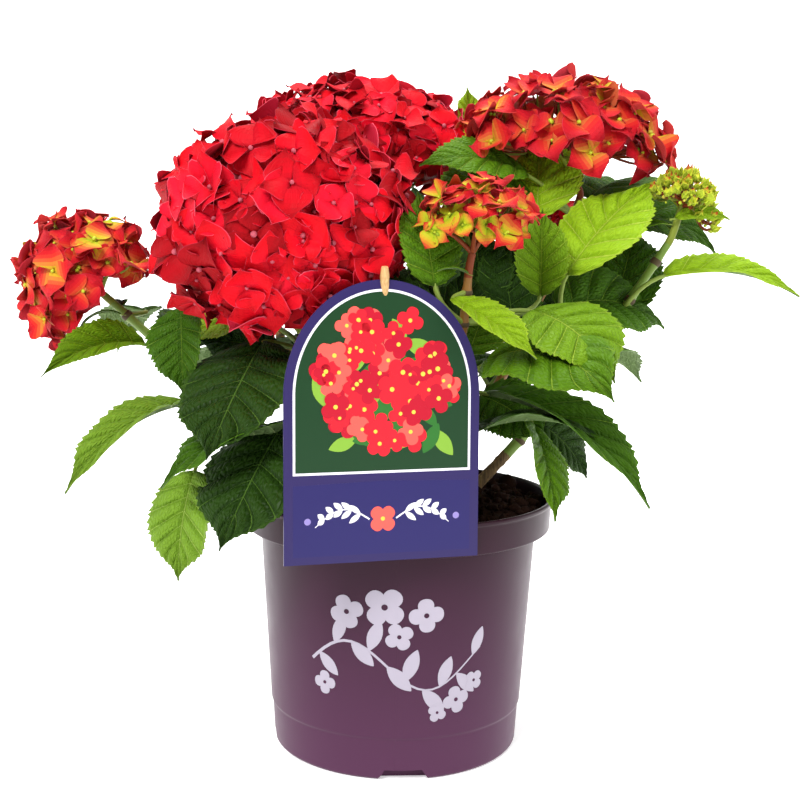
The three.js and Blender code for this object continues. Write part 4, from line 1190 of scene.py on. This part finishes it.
class HYDRANGEA_OT_pot(bpy.types.Operator):
    """Build the nursery pot and the ornament printed on it"""

    bl_idname = "hydrangea.pot"
    bl_label = "Pot"

    def execute(self, context):
        colours = context.scene.hydrangea_colours
        outer = [
            (0, 0), (BASE_RADIUS - 2, 0), (BASE_RADIUS, 2),
            (FLARED_RADIUS, STEP_HEIGHT), (FLARED_RADIUS + STEP_OUT, STEP_HEIGHT + STEP_RISE),
            (NECK_RADIUS, BAND_FOOT - 2), (NECK_RADIUS + 1, BAND_FOOT), (RIM_RADIUS - 3.2, BAND_FOOT),
            (RIM_RADIUS - 2.4, BAND_FOOT + 1), (RIM_RADIUS - 1.6, POT_HEIGHT - 4.1),
            (RIM_RADIUS, POT_HEIGHT - 2.5), (RIM_RADIUS, POT_HEIGHT - 0.8),
            (RIM_RADIUS - 1.2, POT_HEIGHT),
        ]
        inner = [
            (RIM_RADIUS - WALL - 1.6, POT_HEIGHT - 0.6), (RIM_RADIUS - WALL - 2.5, BAND_FOOT + WALL),
            (NECK_RADIUS - WALL, BAND_FOOT - 0.2), (BASE_RADIUS - WALL, 14),
            (NOTCH_INNER - 3, 12), (NOTCH_INNER - 5, FLOOR_TOP), (0, FLOOR_TOP),
        ]
        plastic = moulded_polypropylene(tuple(colours.pot))
        shell = spun(eased(outer + inner, CORNER_RADIUS), POT_STEPS)
        pot = mesh_from(shell, "pot_shell", [plastic])
        cutter = mesh_from(notch_cutters(), "notch_cutters", [plastic])
        cut = pot.modifiers.new("Notches", "BOOLEAN")
        cut.operation, cut.object, cut.solver = "DIFFERENCE", cutter, "EXACT"
        apply_modifiers(pot)
        bpy.data.objects.remove(cutter)
        pot.data.shade_smooth()
        pot.data.set_sharp_from_angle(angle=math.radians(SHARP_ANGLE))
        finish_piece(pot, "pot_plastic", "pot")
        ink = printed_ink("pale_grey_ink", tuple(colours.pot_print), 0.4)
        finish_piece(self.sprig().piece("pot_print", [ink, plastic]), "pot_plastic")
        return {"FINISHED"}

    @staticmethod
    def sprig():
        """The stamps of a flowering sprig in pale ink, where a nursery pot carries its print."""
        def lay(x, z, rise):
            radius = np.array([pot_radius(height) for height in z]) + rise
            angle = x / PRINT_RADIUS
            return np.stack([radius * np.sin(angle), -radius * np.cos(angle), z], axis=1)

        def stem(share):
            wave = SPRIG_WAVE * np.sin(SPRIG_BENDS * math.pi * share)
            return np.stack([SPRIG_LEFT + SPRIG_SPAN * share, SPRIG_HEIGHT + wave], axis=-1)

        art = Print(lay, PRINT_THICKNESS)
        share = np.linspace(0, 1, 25)
        art.ribbon(stem(share), 2.2 - 1.2 * share, 0)
        for i, share in enumerate(np.linspace(0.05, 0.95, SPRIG_LEAVES)):
            angle = (SPRIG_LEAF_ANGLE if i % 2 else -SPRIG_LEAF_ANGLE) + 12
            size = SPRIG_LEAF - 9 * abs(share - 0.5)
            art.shape(drawn_leaf, *stem(share), angle, size, size * SPRIG_LEAF_WIDTH, 0, 1)
        for flower in SPRIG_FLOWERS:
            art.flower(*flower, 0, 1, 2)
        return art.stamps


# Compost

class HYDRANGEA_OT_compost(bpy.types.Operator):
    """Build the heaped, crumbly compost"""

    bl_idname = "hydrangea.compost"
    bl_label = "Compost"

    def execute(self, context):
        scene = context.scene
        peat = moist_peat(tuple(scene.hydrangea_colours.peat))
        blank = sheet_blank(SOIL_CELLS, SOIL_CELLS)
        x, y = drawn_disc(blank.u, blank.v, SOIL_RADIUS, 0)
        surface = np.array([self.height(px, py) for px, py in zip(x, y)])
        z = np.where(blank.under, SOIL_EDGE - SOIL_DEPTH, surface)
        stamps = Stamps()
        stamps.add(blank, np.stack([x, y, z], axis=1), 0)

        rng = np.random.default_rng(SOIL_SEED)
        count = scene.hydrangea_sizes.crumbs
        reach = SOIL_RADIUS * np.sqrt(rng.uniform(0, CRUMB_REACH, count))
        angle = rng.uniform(0, 2 * math.pi, count)
        cx, cy = reach * np.cos(angle), reach * np.sin(angle)
        cz = np.array([self.height(px, py) for px, py in zip(cx, cy)])
        size = rng.gamma(CRUMB_SHAPE, CRUMB_SCALE, count) + CRUMB_LEAST
        ball = bead_blank(1)
        stretch = rng.uniform(*CRUMB_STRETCH, (count, 1, 3)) * size[:, None, None]
        rough = rng.uniform(*CRUMB_ROUGHNESS, (count, len(ball.u), 1))
        lumps = np.stack([cx, cy, cz + 0.2 * size], axis=1)[:, None] + ball.u[None] * stretch * rough
        stamps.add(ball, lumps, 0)
        # A few clods lie on top of the heap
        ball = bead_blank(2)
        for x, y, wide, high in CLODS:
            rough = rng.uniform(*CLOD_ROUGHNESS, (len(ball.u), 1))
            clod = ball.u * rough * (wide, wide * 0.8, high)
            stamps.add(ball, clod + (x, y, self.height(x, y) + high * 0.3), 0)
        finish_piece(stamps.piece("compost_bed", [peat]), "peat", "compost")
        return {"FINISHED"}

    @staticmethod
    def height(x, y):
        """The compost's surface at a place, heaped in the middle and rough."""
        out = min(1, math.hypot(x, y) / SOIL_RADIUS)
        rough = noise.fractal((x / LUMP_SIZE, y / LUMP_SIZE, 0.3), 0.8, 2.1, 6) * LUMP_HEIGHT
        return SOIL_EDGE + SOIL_HEAP * (1 - out ** 4) + rough * (1 - out ** 8)


# Stems and leaves

class HYDRANGEA_OT_stems(bpy.types.Operator):
    """Build the woody stems and the green shoots that rise from them"""

    bl_idname = "hydrangea.stems"
    bl_label = "Stems and shoots"

    def execute(self, context):
        bark = young_bark(tuple(context.scene.hydrangea_colours.bark))
        green = living_skin("green_shoot_skin", linear("#6E8A2E"), 0.5, 1.2, 0.15)
        flushed = living_skin("flushed_shoot_skin", linear("#8A5E22"), 0.5, 1.2, 0.15)
        rng = np.random.default_rng(STEM_SEED)
        scar = living_skin("leaf_scar_skin", linear("#4A3A1C"), 0.7, 0.8, 0.25)
        wood, shoots = Stamps(), Stamps()
        for name in SHOOTS:
            share = np.linspace(-0.02, WOOD_END + 0.004, 30)
            radius = stem_radius(share) * (1 + 0.06 * rng.normal(size=len(share)))
            radius = radius + WOOD_SWELL * np.exp(-((share - WOOD_JOINT) / SWELL_REACH) ** 2)
            wood.add(*tube_points(shoot_points(name, share), radius, 14), 0)
            share = np.linspace(WOOD_END, 1, 64)
            radius = stem_radius(share)
            for joint in JOINTS:
                radius = radius + JOINT_SWELL * np.exp(-((share - joint) / SWELL_REACH) ** 2)
            shoots.add(*tube_points(shoot_points(name, share), radius, 10), int(name in FLUSHED))
            # A corky scar rings the shoot at each joint
            for joint in JOINTS:
                share = joint + np.linspace(-SCAR_REACH, SCAR_REACH, len(SCAR_RINGS))
                radius = stem_radius(share) + SCAR_RINGS
                shoots.add(*tube_points(shoot_points(name, share), radius, 10), 2)
        finish_piece(wood.piece("woody_stems", [bark]), "bark",
                     *(f"stem_{name}" for name in SHOOTS))
        finish_piece(shoots.piece("green_shoots", [green, flushed, scar]), "leaf_green",
                     *(f"foliage_{name}" for name in SHOOTS))
        return {"FINISHED"}


def leaf_materials(colours):
    """The leaf skins: a blade, crest highlight, vein and margin colour for each tone, then the
    underside, its veins and the stalks. The crest highlight is lighter than the blade: painted light on
    the swelling quilts."""
    shades = {
        "lime": (tuple(colours.lime_leaf), "#8AAE1C", "#AAC044", "#94B428"),
        "young": (linear("#5C7E0C"), "#668A12", "#96AE38", "#70921C"),
        "fresh": (linear("#446808"), "#4E740C", "#7E9A2E", "#587C14"),
        "mid": (tuple(colours.mid_leaf), "#3C600E", "#6C8A2C", "#466C14"),
        "dark": (tuple(colours.dark_leaf), "#243E0C", "#50702A", "#304C12"),
        "pale": (linear("#62841E"), "#6C8E26", "#98B050", "#7A983A"),
    }
    materials = []
    for tone in TONES:
        blade, *others = shades[tone]
        for zone, colour in zip(BLADE_ZONES, (blade, *(linear(c) for c in others))):
            materials.append(leaf_skin(
                f"{tone}_leaf_{zone}", colour, 0.46, Specular_IOR_Level=0.1))
    materials.append(leaf_skin(
        "leaf_underside", linear("#6C8450"), 0.6, -0.8, Specular_IOR_Level=0.2))
    materials.append(living_skin(
        "leaf_under_veins", linear("#A0B274"), 0.6, 0.9, 0.15, Specular_IOR_Level=0.25))
    materials.append(living_skin(
        "leaf_stalk_skin", linear("#7C9038"), 0.5, 1.2, 0.12, Specular_IOR_Level=0.35))
    return materials


def blade_slots(tone):
    """The material slot of each face of a blade."""
    zones = len(BLADE_ZONES)
    first, under = TONES.index(tone) * zones, len(TONES) * zones
    return np.array((*range(first, first + zones), under, under + 1))[blade_zones()]


class HYDRANGEA_OT_leaves(bpy.types.Operator):
    """Build every leaf on its stalk, one piece for each shoot"""

    bl_idname = "hydrangea.leaves"
    bl_label = "Leaves"

    def execute(self, context):
        materials = leaf_materials(context.scene.hydrangea_colours)
        stalk_slot = len(materials) - 1
        for number, name in enumerate(SHOOTS):
            rng = np.random.default_rng(LEAF_SEED + number)
            leaves = [(leaf, nearest_joint(name, leaf))
                      for leaf in PLACED_LEAVES + INNER_LEAVES if leaf.on == name]
            leaves += paired_leaves(name)
            leaves += [(leaf, np.array(leaf.base) - midrib(leaf)[1][0] * 4)
                       for leaf in BRACTS if leaf.on == name]
            stamps = Stamps()
            for leaf, start in leaves:
                stamps.add(blade_blank(), blade_points(leaf, rng), blade_slots(leaf.tone))
                radius = np.linspace(2.2, 1.4, 8) * min(1, leaf.width / RIBBED_WIDTH)
                stamps.tube(*stalk_path(start, leaf), radius, 8, stalk_slot)
            piece = stamps.piece(f"leaves_{name}", materials)
            finish_piece(piece, "leaf_green", f"foliage_{name}")
        return {"FINISHED"}


# Flower heads

# Colours of a floret: its rows from the claw to the tip, its rim and its back. The rim is paler:
# partly the sepal's own pale margin, partly a painted highlight along its edge. A name stands for
# the colour that the user may change.
Coat = namedtuple("Coat", "rows rim back")
COATS = {
    # On the mopheads each coat's rows are darker at the claw and the tip than in the middle: partly the
    # floret's own deeper crimson at its middle, partly painted shade that models the cupped sepal and
    # its curled tip.
    "close": (
        Coat(("#C60820", "scarlet", "#D20818", "#BC0616"), "#DA3A50", "#B01A2C"),
        Coat(("#B4061A", "crimson", "#B80616", "#A00412"), "#C62A3C", "#9C1424"),
        Coat(("#D00C26", "#E2122C", "#DE1028", "#CC0A1E"), "#E6566A", "#B82038"),
        Coat(("#98040F", "#A00512", "#94040F", "#80030C"), "#AC2032", "#7C0C18"),
    ),
    "open": (
        Coat(("#C49C24", "#C86C30", "#C83824", "#C41C20", "#B81420", "#A40E1A"), "#CE3C3A", "#C43E3E"),
        Coat(("#A8B01E", "#C09C24", "#C8702C", "#C83C26", "#C01C20", "#AC1420"), "#CC4638", "#BC5A36"),
        Coat(("#C86030", "#C43222", "#C01A20", "#B81422", "#A80F1C", "#980C18"), "#C83240", "#BC3440"),
        Coat(("#90A81E", "#A8B21E", "#B8AC24", "#C8902A", "#CC5C2C", "#BC2822"), "#C4502C", "#A89A2C"),
    ),
    "bud": (
        Coat(("#B4C82C", "#C8D636", "#D2DA3C", "#D0C63A", "#C87830", "#A82C1C"), "#CCD044", "#B4C638"),
        Coat(("#BCD030", "#CEDC3C", "#D6E044", "#D6E044", "#D2D642", "#C89A38"), "#D2DC4C", "#BCCE3E"),
    ),
}
# shade is the dark red of a mophead's core: painted shade that shows through the gaps between the
# florets.
SMALL_PARTS = {
    "shade": "#6A030D", "eye": "#B24E5C", "bud": "#B4C030", "pale_bud": "#C8BC48",
    "green_bud": "#88A024", "flushed_bud": "#C0623A", "red_stalk": "#803A1E",
    "green_stalk": "#7C8830",
}


def floret_materials(colours, kind):
    """The skins of a kind's florets, one coat after another, then those of its small parts."""
    skins = {}
    for number, coat in enumerate(COATS[kind], 1):
        steps = [linear(c) if c[0] == "#" else tuple(getattr(colours, c)) for c in coat.rows]
        shades = {f"row_{row + 1}": blended(steps, row / (SEPAL_ROWS - 1)) for row in range(SEPAL_ROWS)}
        shades.update(rim=linear(coat.rim), back=linear(coat.back))
        for part, shade in shades.items():
            name = f"{kind}_{number}_{part}"
            skins[name] = sepal_skin(
                name, shade, 0.5, Specular_IOR_Level=0.08, Sheen_Weight=0.04, Sheen_Roughness=0.4,
                Sheen_Tint=(1, 0.55, 0.6, 1))
    for name, colour in SMALL_PARTS.items():
        skins[name] = living_skin(
            f"{kind}_{name}", linear(colour), 0.45, 1, 0.1, Specular_IOR_Level=0.2)
    return skins


class HYDRANGEA_OT_flower_heads(bpy.types.Operator):
    """Build the flower heads, one piece of florets and one of stalks for each"""

    bl_idname = "hydrangea.flower_heads"
    bl_label = "Flower heads"

    def execute(self, context):
        colours = context.scene.hydrangea_colours
        skins = {kind: floret_materials(colours, kind) for kind in COATS}
        slots = {"close": "petal_red", "open": "petal_orange_red", "bud": "bud_green"}
        for number, (name, head) in enumerate(HEADS.items()):
            rng = np.random.default_rng(HEAD_SEED + HEAD_SEED_STEP * number)
            names, materials = list(skins[head.kind]), list(skins[head.kind].values())
            florets, stalks = Stamps(), Stamps()
            fill = self.fill_close if head.kind == "close" else self.fill_open
            fill(head, florets, stalks, names, rng, name)
            node = f"flower_head_{name}"
            finish_piece(florets.piece(f"florets_{name}", materials), slots[head.kind], node)
            finish_piece(stalks.piece(f"head_stalks_{name}", materials), slots[head.kind], node)
        return {"FINISHED"}

    @staticmethod
    def add_florets(stamps, names, head, centres, normals, radii, rng):
        """Four-sepalled florets with a bead in the middle of each."""
        count = len(COATS[head.kind])
        high, low = (rng.choice(count, len(centres), p=np.array(mix) / sum(mix))
                     for mix in (head.mix, head.low_mix))
        coat = np.where(centres[:, 2] > head.centre[2], high, low)
        slots = coat[:, None] * SEPAL_ZONES + sepal_zones()
        points = sepal_points(centres, normals, radii, rng, HABITS[head.kind])
        stamps.add(sepal_blank(), points, np.repeat(slots, 4, axis=0))
        eye, level = ("eye", 2) if head.kind == "close" else ("bud", 1)
        bead_radii = (radii * EYE_SHARE + EYE_LEAST) * rng.uniform(*EYE_SIZES, len(centres))
        ball, beads = bead_points(centres + normals * 0.5, normals, bead_radii, EYE_SINK, level)
        stamps.add(ball, beads, names.index(eye))

    def fill_close(self, head, florets, stalks, names, rng, name):
        """A mophead: a close ball of florets over a shaded core."""
        centre, radii = np.array(head.centre, float), np.array(head.radii, float)
        outer = cap_directions(head.face, head.florets, head.spread)
        outer = unit(outer + rng.normal(0, CLOSE_WANDER, outer.shape))
        inner = cap_directions(head.face, head.florets // 2, head.spread + INNER_SPREAD)
        inner = unit(inner + rng.normal(0, CLOSE_WANDER, inner.shape))
        layers = [(directions, rng.uniform(least, most, len(directions)), tilt)
                  for directions, (least, most, tilt) in ((outer, OUTER_LAYER), (inner, INNER_LAYER))]
        for directions, reach, tilt in layers:
            seat = centre + directions * (radii - CLOSE_INSET) * reach[:, None]
            normals = unit(unit(directions / radii) + rng.normal(0, tilt, directions.shape))
            size = head.radius * rng.uniform(*CLOSE_SIZES, len(directions))
            self.add_florets(florets, names, head, seat, normals, size, rng)
        # The core is a dome: it is nearly flat underneath, where the stalks fan out
        core = bead_blank(3)
        flat = np.where(core.u[:, 2:] < 0, (1, 1, CORE_FLAT), (1, 1, 1))
        florets.add(core, centre + core.u * flat * radii * CORE_SHARE, names.index("shade"))
        neck = shoot_points(name, (1.0,))[0]
        green = names.index("green_stalk")
        stalks.tube(neck, (neck + centre) / 2, centre, np.linspace(2.9, 4, 8), 10, green)
        turns = np.arange(CORE_STALKS) * 2 * math.pi / CORE_STALKS
        for angle in turns + rng.uniform(0, 0.3, CORE_STALKS):
            x, y = CORE_STALK_REACH * math.cos(angle), CORE_STALK_REACH * math.sin(angle)
            edge = centre + radii * (x, y, CORE_STALK_HEIGHT)
            stalks.tube(neck, neck + (0, 0, 14), edge, np.linspace(1.8, 1.1, 9), 6, green)

    def fill_open(self, head, florets, stalks, names, rng, name):
        """An open head, or one in bud: florets and buds on forking stalks."""
        centre, radii = np.array(head.centre, float), np.array(head.radii, float)
        face = unit(np.array(head.face, float))
        bud = head.kind == "bud"
        neck = shoot_points(name, (1.0,))[0]
        tangent = unit(neck - shoot_points(name, (0.97,))[0])
        hub = neck + (centre - neck) * (BUD_HUB_SHARE if bud else HUB_SHARE)
        neck_skin = "green_stalk" if bud or name == "far_left" else "red_stalk"
        stalks.tube(neck, neck + tangent * 8, hub, np.linspace(2.9, 2.6, 8), 10,
                    names.index(neck_skin))
        directions = cap_directions(face, head.florets, head.spread)
        directions = unit(directions + rng.normal(0, OPEN_WANDER, directions.shape))
        if head.bare:
            directions = directions[directions @ unit(np.array(head.bare)) < BARE_REACH]
        if bud:
            # A flat tuft on the stalk's end, and a smaller one below its bract
            seat = hub + directions * TUFT * rng.uniform(0.84, 1, (len(directions), 1))
            lower = cap_directions(LOW_TUFT_FACE, LOW_TUFT_COUNT, LOW_TUFT_SPREAD)
            seat = np.vstack([seat, centre + LOW_TUFT_PLACE + lower * LOW_TUFT])
            normals = unit(np.vstack([directions, lower]) + face * 0.9)
        else:
            count = len(directions)
            reach = 0.96 - 0.1 * (np.arange(count) % 3) + rng.normal(0, 0.02, count)
            seat = centre + directions * (radii - OPEN_INSET) * reach[:, None]
            normals = unit(unit(directions / radii) + face * 0.35
                           + rng.normal(0, 0.2, directions.shape))
        size = head.radius * rng.uniform(*OPEN_SIZES, len(seat))
        self.add_florets(florets, names, head, seat, normals, size, rng)
        self.add_buds(florets, names, seat, normals, rng, BUD_RADIUS if bud else OPEN_BUD_RADIUS)
        self.add_stalks(stalks, names, hub, face, seat, normals, rng)

    @staticmethod
    def add_buds(stamps, names, seat, normals, rng, radius):
        """Round buds that have not opened yet, between the florets."""
        count = len(seat) * BUDS_EACH
        normals = np.repeat(normals, BUDS_EACH, axis=0)
        at = np.repeat(seat, BUDS_EACH, axis=0) + rng.normal(0, BUD_WANDER, (count, 3))
        at = at - normals * rng.uniform(0, 3, count)[:, None]
        ball, beads = bead_points(at, normals, radius * rng.uniform(*BUD_SIZES, count), 0.5)
        palette = [names.index(name) for name in BUD_TINTS]
        tint = rng.choice(palette, count, p=tuple(BUD_TINTS.values()))
        stamps.add(ball, beads, tint[:, None])

    @staticmethod
    def add_stalks(stamps, names, hub, axis, seat, normals, rng):
        """Branches from the hub, each forking to the florets nearest to it."""
        leads = cap_directions(axis, max(4, len(seat) // FLORETS_PER_WAY), WAYS_SPREAD)
        nearest = np.argmax(unit(seat - hub) @ leads.T, axis=1)
        red, green = names.index("red_stalk"), names.index("green_stalk")
        for way in range(len(leads)):
            mine = np.flatnonzero(nearest == way)
            if len(mine) == 0:
                continue
            fork = hub + (seat[mine].mean(axis=0) - hub) * FORK_SHARE
            stamps.tube(hub, hub + (fork - hub) * 0.5 + axis * 2, fork,
                        np.linspace(1.9, 1.3, 7), 8, green if way % 2 else red)
            for i in mine:
                end = seat[i] - normals[i] * 0.5
                bend = end - normals[i] * np.linalg.norm(end - fork) * 0.45
                slot = green if rng.random() < GREEN_TWIGS else red
                stamps.tube(fork, bend, end, np.linspace(1.1, 0.7, 7), 6, slot)


# Card and cane

def card_frame():
    """The card's directions: along its foot, up its face and out of its front."""
    lean, turn = math.radians(CARD_LEAN), math.radians(CARD_TURN)
    along = np.array((math.cos(turn), math.sin(turn), 0.0))
    level = np.array((-math.sin(turn), math.cos(turn), 0.0))
    up = np.array((0.0, 0.0, 1.0)) * math.cos(lean) + level * math.sin(lean)
    out = np.cross(along, up)
    return along, up, out


def lay_on_card(x, z, rise):
    """Points of the card's front face, and above it by rise."""
    along, up, out = card_frame()
    origin = np.array(CARD_BOTTOM, float)
    rise = np.broadcast_to(rise, np.shape(x))
    return (origin + np.multiply.outer(x, along) + np.multiply.outer(z, up)
            + np.multiply.outer(rise + CARD_THICKNESS, out))


def arch_half_width(z, width, height, arch):
    """Half the width, at a height, of an upright panel with an elliptical arch on top."""
    over = np.clip((z - (height - arch)) / arch, 0, 1)
    return width / 2 * np.sqrt(np.clip(1 - over * over, 0, 1))


def arched(blank, width, height, arch):
    """A sheet as such a panel. Its rows crowd together towards the top of the arch."""
    z = height * np.sin(blank.u * math.pi / 2)
    return blank.v * np.maximum(arch_half_width(z, width, height, arch), ARCH_TOP), z


class HYDRANGEA_OT_card(bpy.types.Operator):
    """Build the picture card and the bamboo cane that it hangs on"""

    bl_idname = "hydrangea.card"
    bl_label = "Card and cane"

    def execute(self, context):
        cane = Stamps()
        wander = 0.1 * np.sin(np.linspace(0, 1, 40) * 40)
        radius = CANE_RADIUS - 0.15 + wander
        radius[-1] = CANE_RADIUS - 0.8
        middle = (np.array(CANE_FOOT) + CANE_TOP) / 2
        cane.tube(CANE_FOOT, middle, CANE_TOP, radius, 20, 0)
        finish_piece(cane.piece("bamboo_cane", [dry_bamboo()]), "bamboo", "label_cane")

        blank = sheet_blank(60, 14)
        x, z = arched(blank, CARD_WIDTH, CARD_HEIGHT, CARD_ARCH)
        stamps = Stamps()
        stamps.add(blank, lay_on_card(x, z, np.where(blank.under, -CARD_THICKNESS, 0.0)), 0)
        colour = tuple(context.scene.hydrangea_colours.card)
        film = printed_ink("violet_card_film", colour, 0.3)
        card = stamps.piece("picture_card_film", [film])
        card.data.set_sharp_from_angle(angle=math.radians(SHARP_ANGLE))
        finish_piece(card, "card_film", "picture_card")
        self.add_print()
        return {"FINISHED"}

    def add_print(self):
        """A window full of flowers, and an ornament on a darker field below it."""
        inks = {
            "leaf green": "#2E6B2A", "young green": "#7FA93A", "deep green": "#173A1E",
            "scarlet": "#DB1F2E", "crimson": "#B3122A", "coral": "#EE5A50", "white": "#E9E6EE",
            "lilac": "#8D80BC", "deep violet": "#26215B", "yellow": "#D9C24A",
        }
        materials = [printed_ink(f"card_ink_{name.replace(' ', '_')}", linear(colour), 0.3)
                     for name, colour in inks.items()]
        slot = list(inks).index
        art = Print(lay_on_card, INK_THICKNESS)
        # An arched window with a cluster of four-petalled flowers over leaves
        for (foot, width, arch), ink, layer in ((WINDOW_EDGE, "white", 0), (WINDOW, "deep green", 1)):
            art.panel(foot, width, width, arch, slot(ink), layer)
        self.fill_window(art, slot, np.random.default_rng(CARD_SEED))
        # A plain darker field below it, with one ornament of leaves round a flower
        art.panel(FIELD_FOOT, WINDOW_EDGE[1], FIELD_HEIGHT, 1, slot("deep violet"), 0, 6, 6)
        for side in (-1, 1):
            sweep = np.linspace(0, 1, 13)
            heights = ORNAMENT_HEIGHT + 9 * np.sin(math.pi * sweep) - 4 * sweep
            branch = np.stack([side * (9 + 36 * sweep), heights], axis=1)
            art.ribbon(branch, 1.1 - 0.6 * sweep, slot("white"), 1)
            for i in range(5):
                x, z = branch[2 + 2 * i]
                for lean in (38, -38):
                    angle = lean if side > 0 else 180 - lean
                    art.shape(drawn_leaf, x, z, angle, 9.5 - i, 3.6, slot("white"), 2)
        art.flower(0, ORNAMENT_HEIGHT, 9.5, 45, slot("coral"), slot("yellow"), 2)
        for x in (-50, 50):
            art.shape(drawn_disc, x, ORNAMENT_HEIGHT, 0, 2.2, 0, slot("lilac"), 1, 6, 6)
        finish_piece(art.stamps.piece("card_print", materials), "card_film")

    @staticmethod
    def fill_window(art, slot, rng):
        """Leaves, then flowers, spread over the window and kept inside its arch."""
        foot, width, arch = WINDOW

        def inside(x, z, reach):
            half = arch_half_width(np.array(z - foot + reach), width, width, arch)
            return z - reach > foot + WINDOW_MARGIN and abs(x) + reach < half

        for i in range(70):
            x, z, size = rng.uniform(-55, 55), rng.uniform(64, 168), rng.uniform(16, 26)
            angle = rng.uniform(0, 360)
            turn = math.radians(angle)
            middle = x + size / 2 * math.cos(turn), z + size / 2 * math.sin(turn)
            if inside(*middle, size / 2 + 1):
                green = ("leaf green", "young green", "leaf green")[i % 3]
                art.shape(drawn_leaf, x, z, angle, size, size * 0.45, slot(green), 2 + 0.02 * i)
        for i in range(150):
            x, z, size = rng.uniform(-54, 54), rng.uniform(66, 172), rng.uniform(7, 11)
            centred = (x / 50) ** 2 + ((z - 122) / 47) ** 2 < 1
            if centred and inside(x, z, size + 1):
                red = ("scarlet", "crimson", "coral", "scarlet")[i % 4]
                art.flower(x, z, size, rng.uniform(0, 90), slot(red), slot("yellow"), 4 + 0.03 * i)


# Floor, lights and camera

class HYDRANGEA_OT_stage(bpy.types.Operator):
    """Build the pale floor with its curved back, the soft lights and the camera"""

    bl_idname = "hydrangea.stage"
    bl_label = "Stage, lights and camera"

    def execute(self, context):
        scene = context.scene
        self.add_floor()
        scene.view_settings.view_transform = "Standard"
        world = bpy.data.worlds.new("soft_daylight")
        world.use_nodes = True
        background = world.node_tree.nodes["Background"]
        background.inputs["Color"].default_value = (1, 1, 1, 1)
        background.inputs["Strength"].default_value = DAYLIGHT
        scene.world = world
        for name, lamp in LAMPS.items():
            self.add_lamp(name, lamp)
        self.add_camera(scene)
        return {"FINISHED"}

    @staticmethod
    def add_lamp(name, lamp):
        data = bpy.data.lights.new(name, "AREA")
        data.shape, data.energy = "RECTANGLE", lamp.watts
        data.size, data.size_y = lamp.size
        light = new_piece(name, data)
        light.location = lamp.place
        aim = Vector(lamp.target) - Vector(lamp.place)
        light.rotation_euler = aim.to_track_quat("-Z", "Y").to_euler()

    @staticmethod
    def add_floor():
        """Matt white paper, which glows a little so that it stays white in its own shade."""
        bm = bmesh.new()
        bmesh.ops.create_grid(bm, x_segments=2, y_segments=FLOOR_STEPS, size=FLOOR_HALF)
        for vert in bm.verts:
            vert.co.z = FLOOR_CURVE * max(0, vert.co.y - FLOOR_BEND) ** 2
        floor = bpy.data.meshes.new("studio_floor")
        bm.to_mesh(floor)
        bm.free()
        floor.shade_smooth()
        paper, _ = new_material(
            "white_paper_floor", FLOOR_WHITE, 0.9, Emission_Color=(1, 1, 1, 1),
            Emission_Strength=FLOOR_GLOW)
        new_piece("studio_floor", floor, [paper])

    @staticmethod
    def add_camera(scene):
        pitch, roll = math.radians(CAMERA_PITCH), math.radians(CAMERA_ROLL)
        forward = Vector((0, math.cos(pitch), -math.sin(pitch)))
        right = Vector((1, 0, 0))
        up = right.cross(forward)
        tilted_right = right * math.cos(roll) + up * math.sin(roll)
        tilted_up = up * math.cos(roll) - right * math.sin(roll)
        matrix = Matrix((tilted_right, tilted_up, -forward)).transposed().to_4x4()
        matrix.translation = Vector(CAMERA_PLACE) * MM
        data = bpy.data.cameras.new("camera")
        data.lens, data.sensor_width = CAMERA_LENS, CAMERA_SENSOR
        camera = new_piece("camera", data)
        camera.matrix_world = matrix
        scene.camera = camera


class HYDRANGEA_PT_build(bpy.types.Panel):
    """Lists the steps that build the plant, and its sizes and colours"""

    bl_idname = "HYDRANGEA_PT_build"
    bl_label = "Potted hydrangea"
    bl_space_type = "VIEW_3D"
    bl_region_type = "UI"
    bl_category = "Hydrangea"

    def draw(self, context):
        for operator in OPERATORS:
            self.layout.operator(operator.bl_idname)
        for group in (context.scene.hydrangea_sizes, context.scene.hydrangea_colours):
            column = self.layout.column()
            for name in group.__annotations__:
                column.prop(group, name)


OPERATORS = (
    HYDRANGEA_OT_pot,
    HYDRANGEA_OT_compost,
    HYDRANGEA_OT_stems,
    HYDRANGEA_OT_leaves,
    HYDRANGEA_OT_flower_heads,
    HYDRANGEA_OT_card,
    HYDRANGEA_OT_stage,
)
CLASSES = (HydrangeaSizes, HydrangeaColours, *OPERATORS, HYDRANGEA_PT_build)


def register():
    for cls in CLASSES:
        bpy.utils.register_class(cls)
    bpy.types.Scene.hydrangea_sizes = PointerProperty(type=HydrangeaSizes)
    bpy.types.Scene.hydrangea_colours = PointerProperty(type=HydrangeaColours)


def unregister():
    del bpy.types.Scene.hydrangea_colours
    del bpy.types.Scene.hydrangea_sizes
    for cls in reversed(CLASSES):
        bpy.utils.unregister_class(cls)


def main():
    register()
    bpy.ops.hydrangea.stage()
    bpy.ops.hydrangea.pot()
    bpy.ops.hydrangea.compost()
    bpy.ops.hydrangea.stems()
    bpy.ops.hydrangea.leaves()
    bpy.ops.hydrangea.flower_heads()
    bpy.ops.hydrangea.card()


if __name__ == "__main__":
    main()
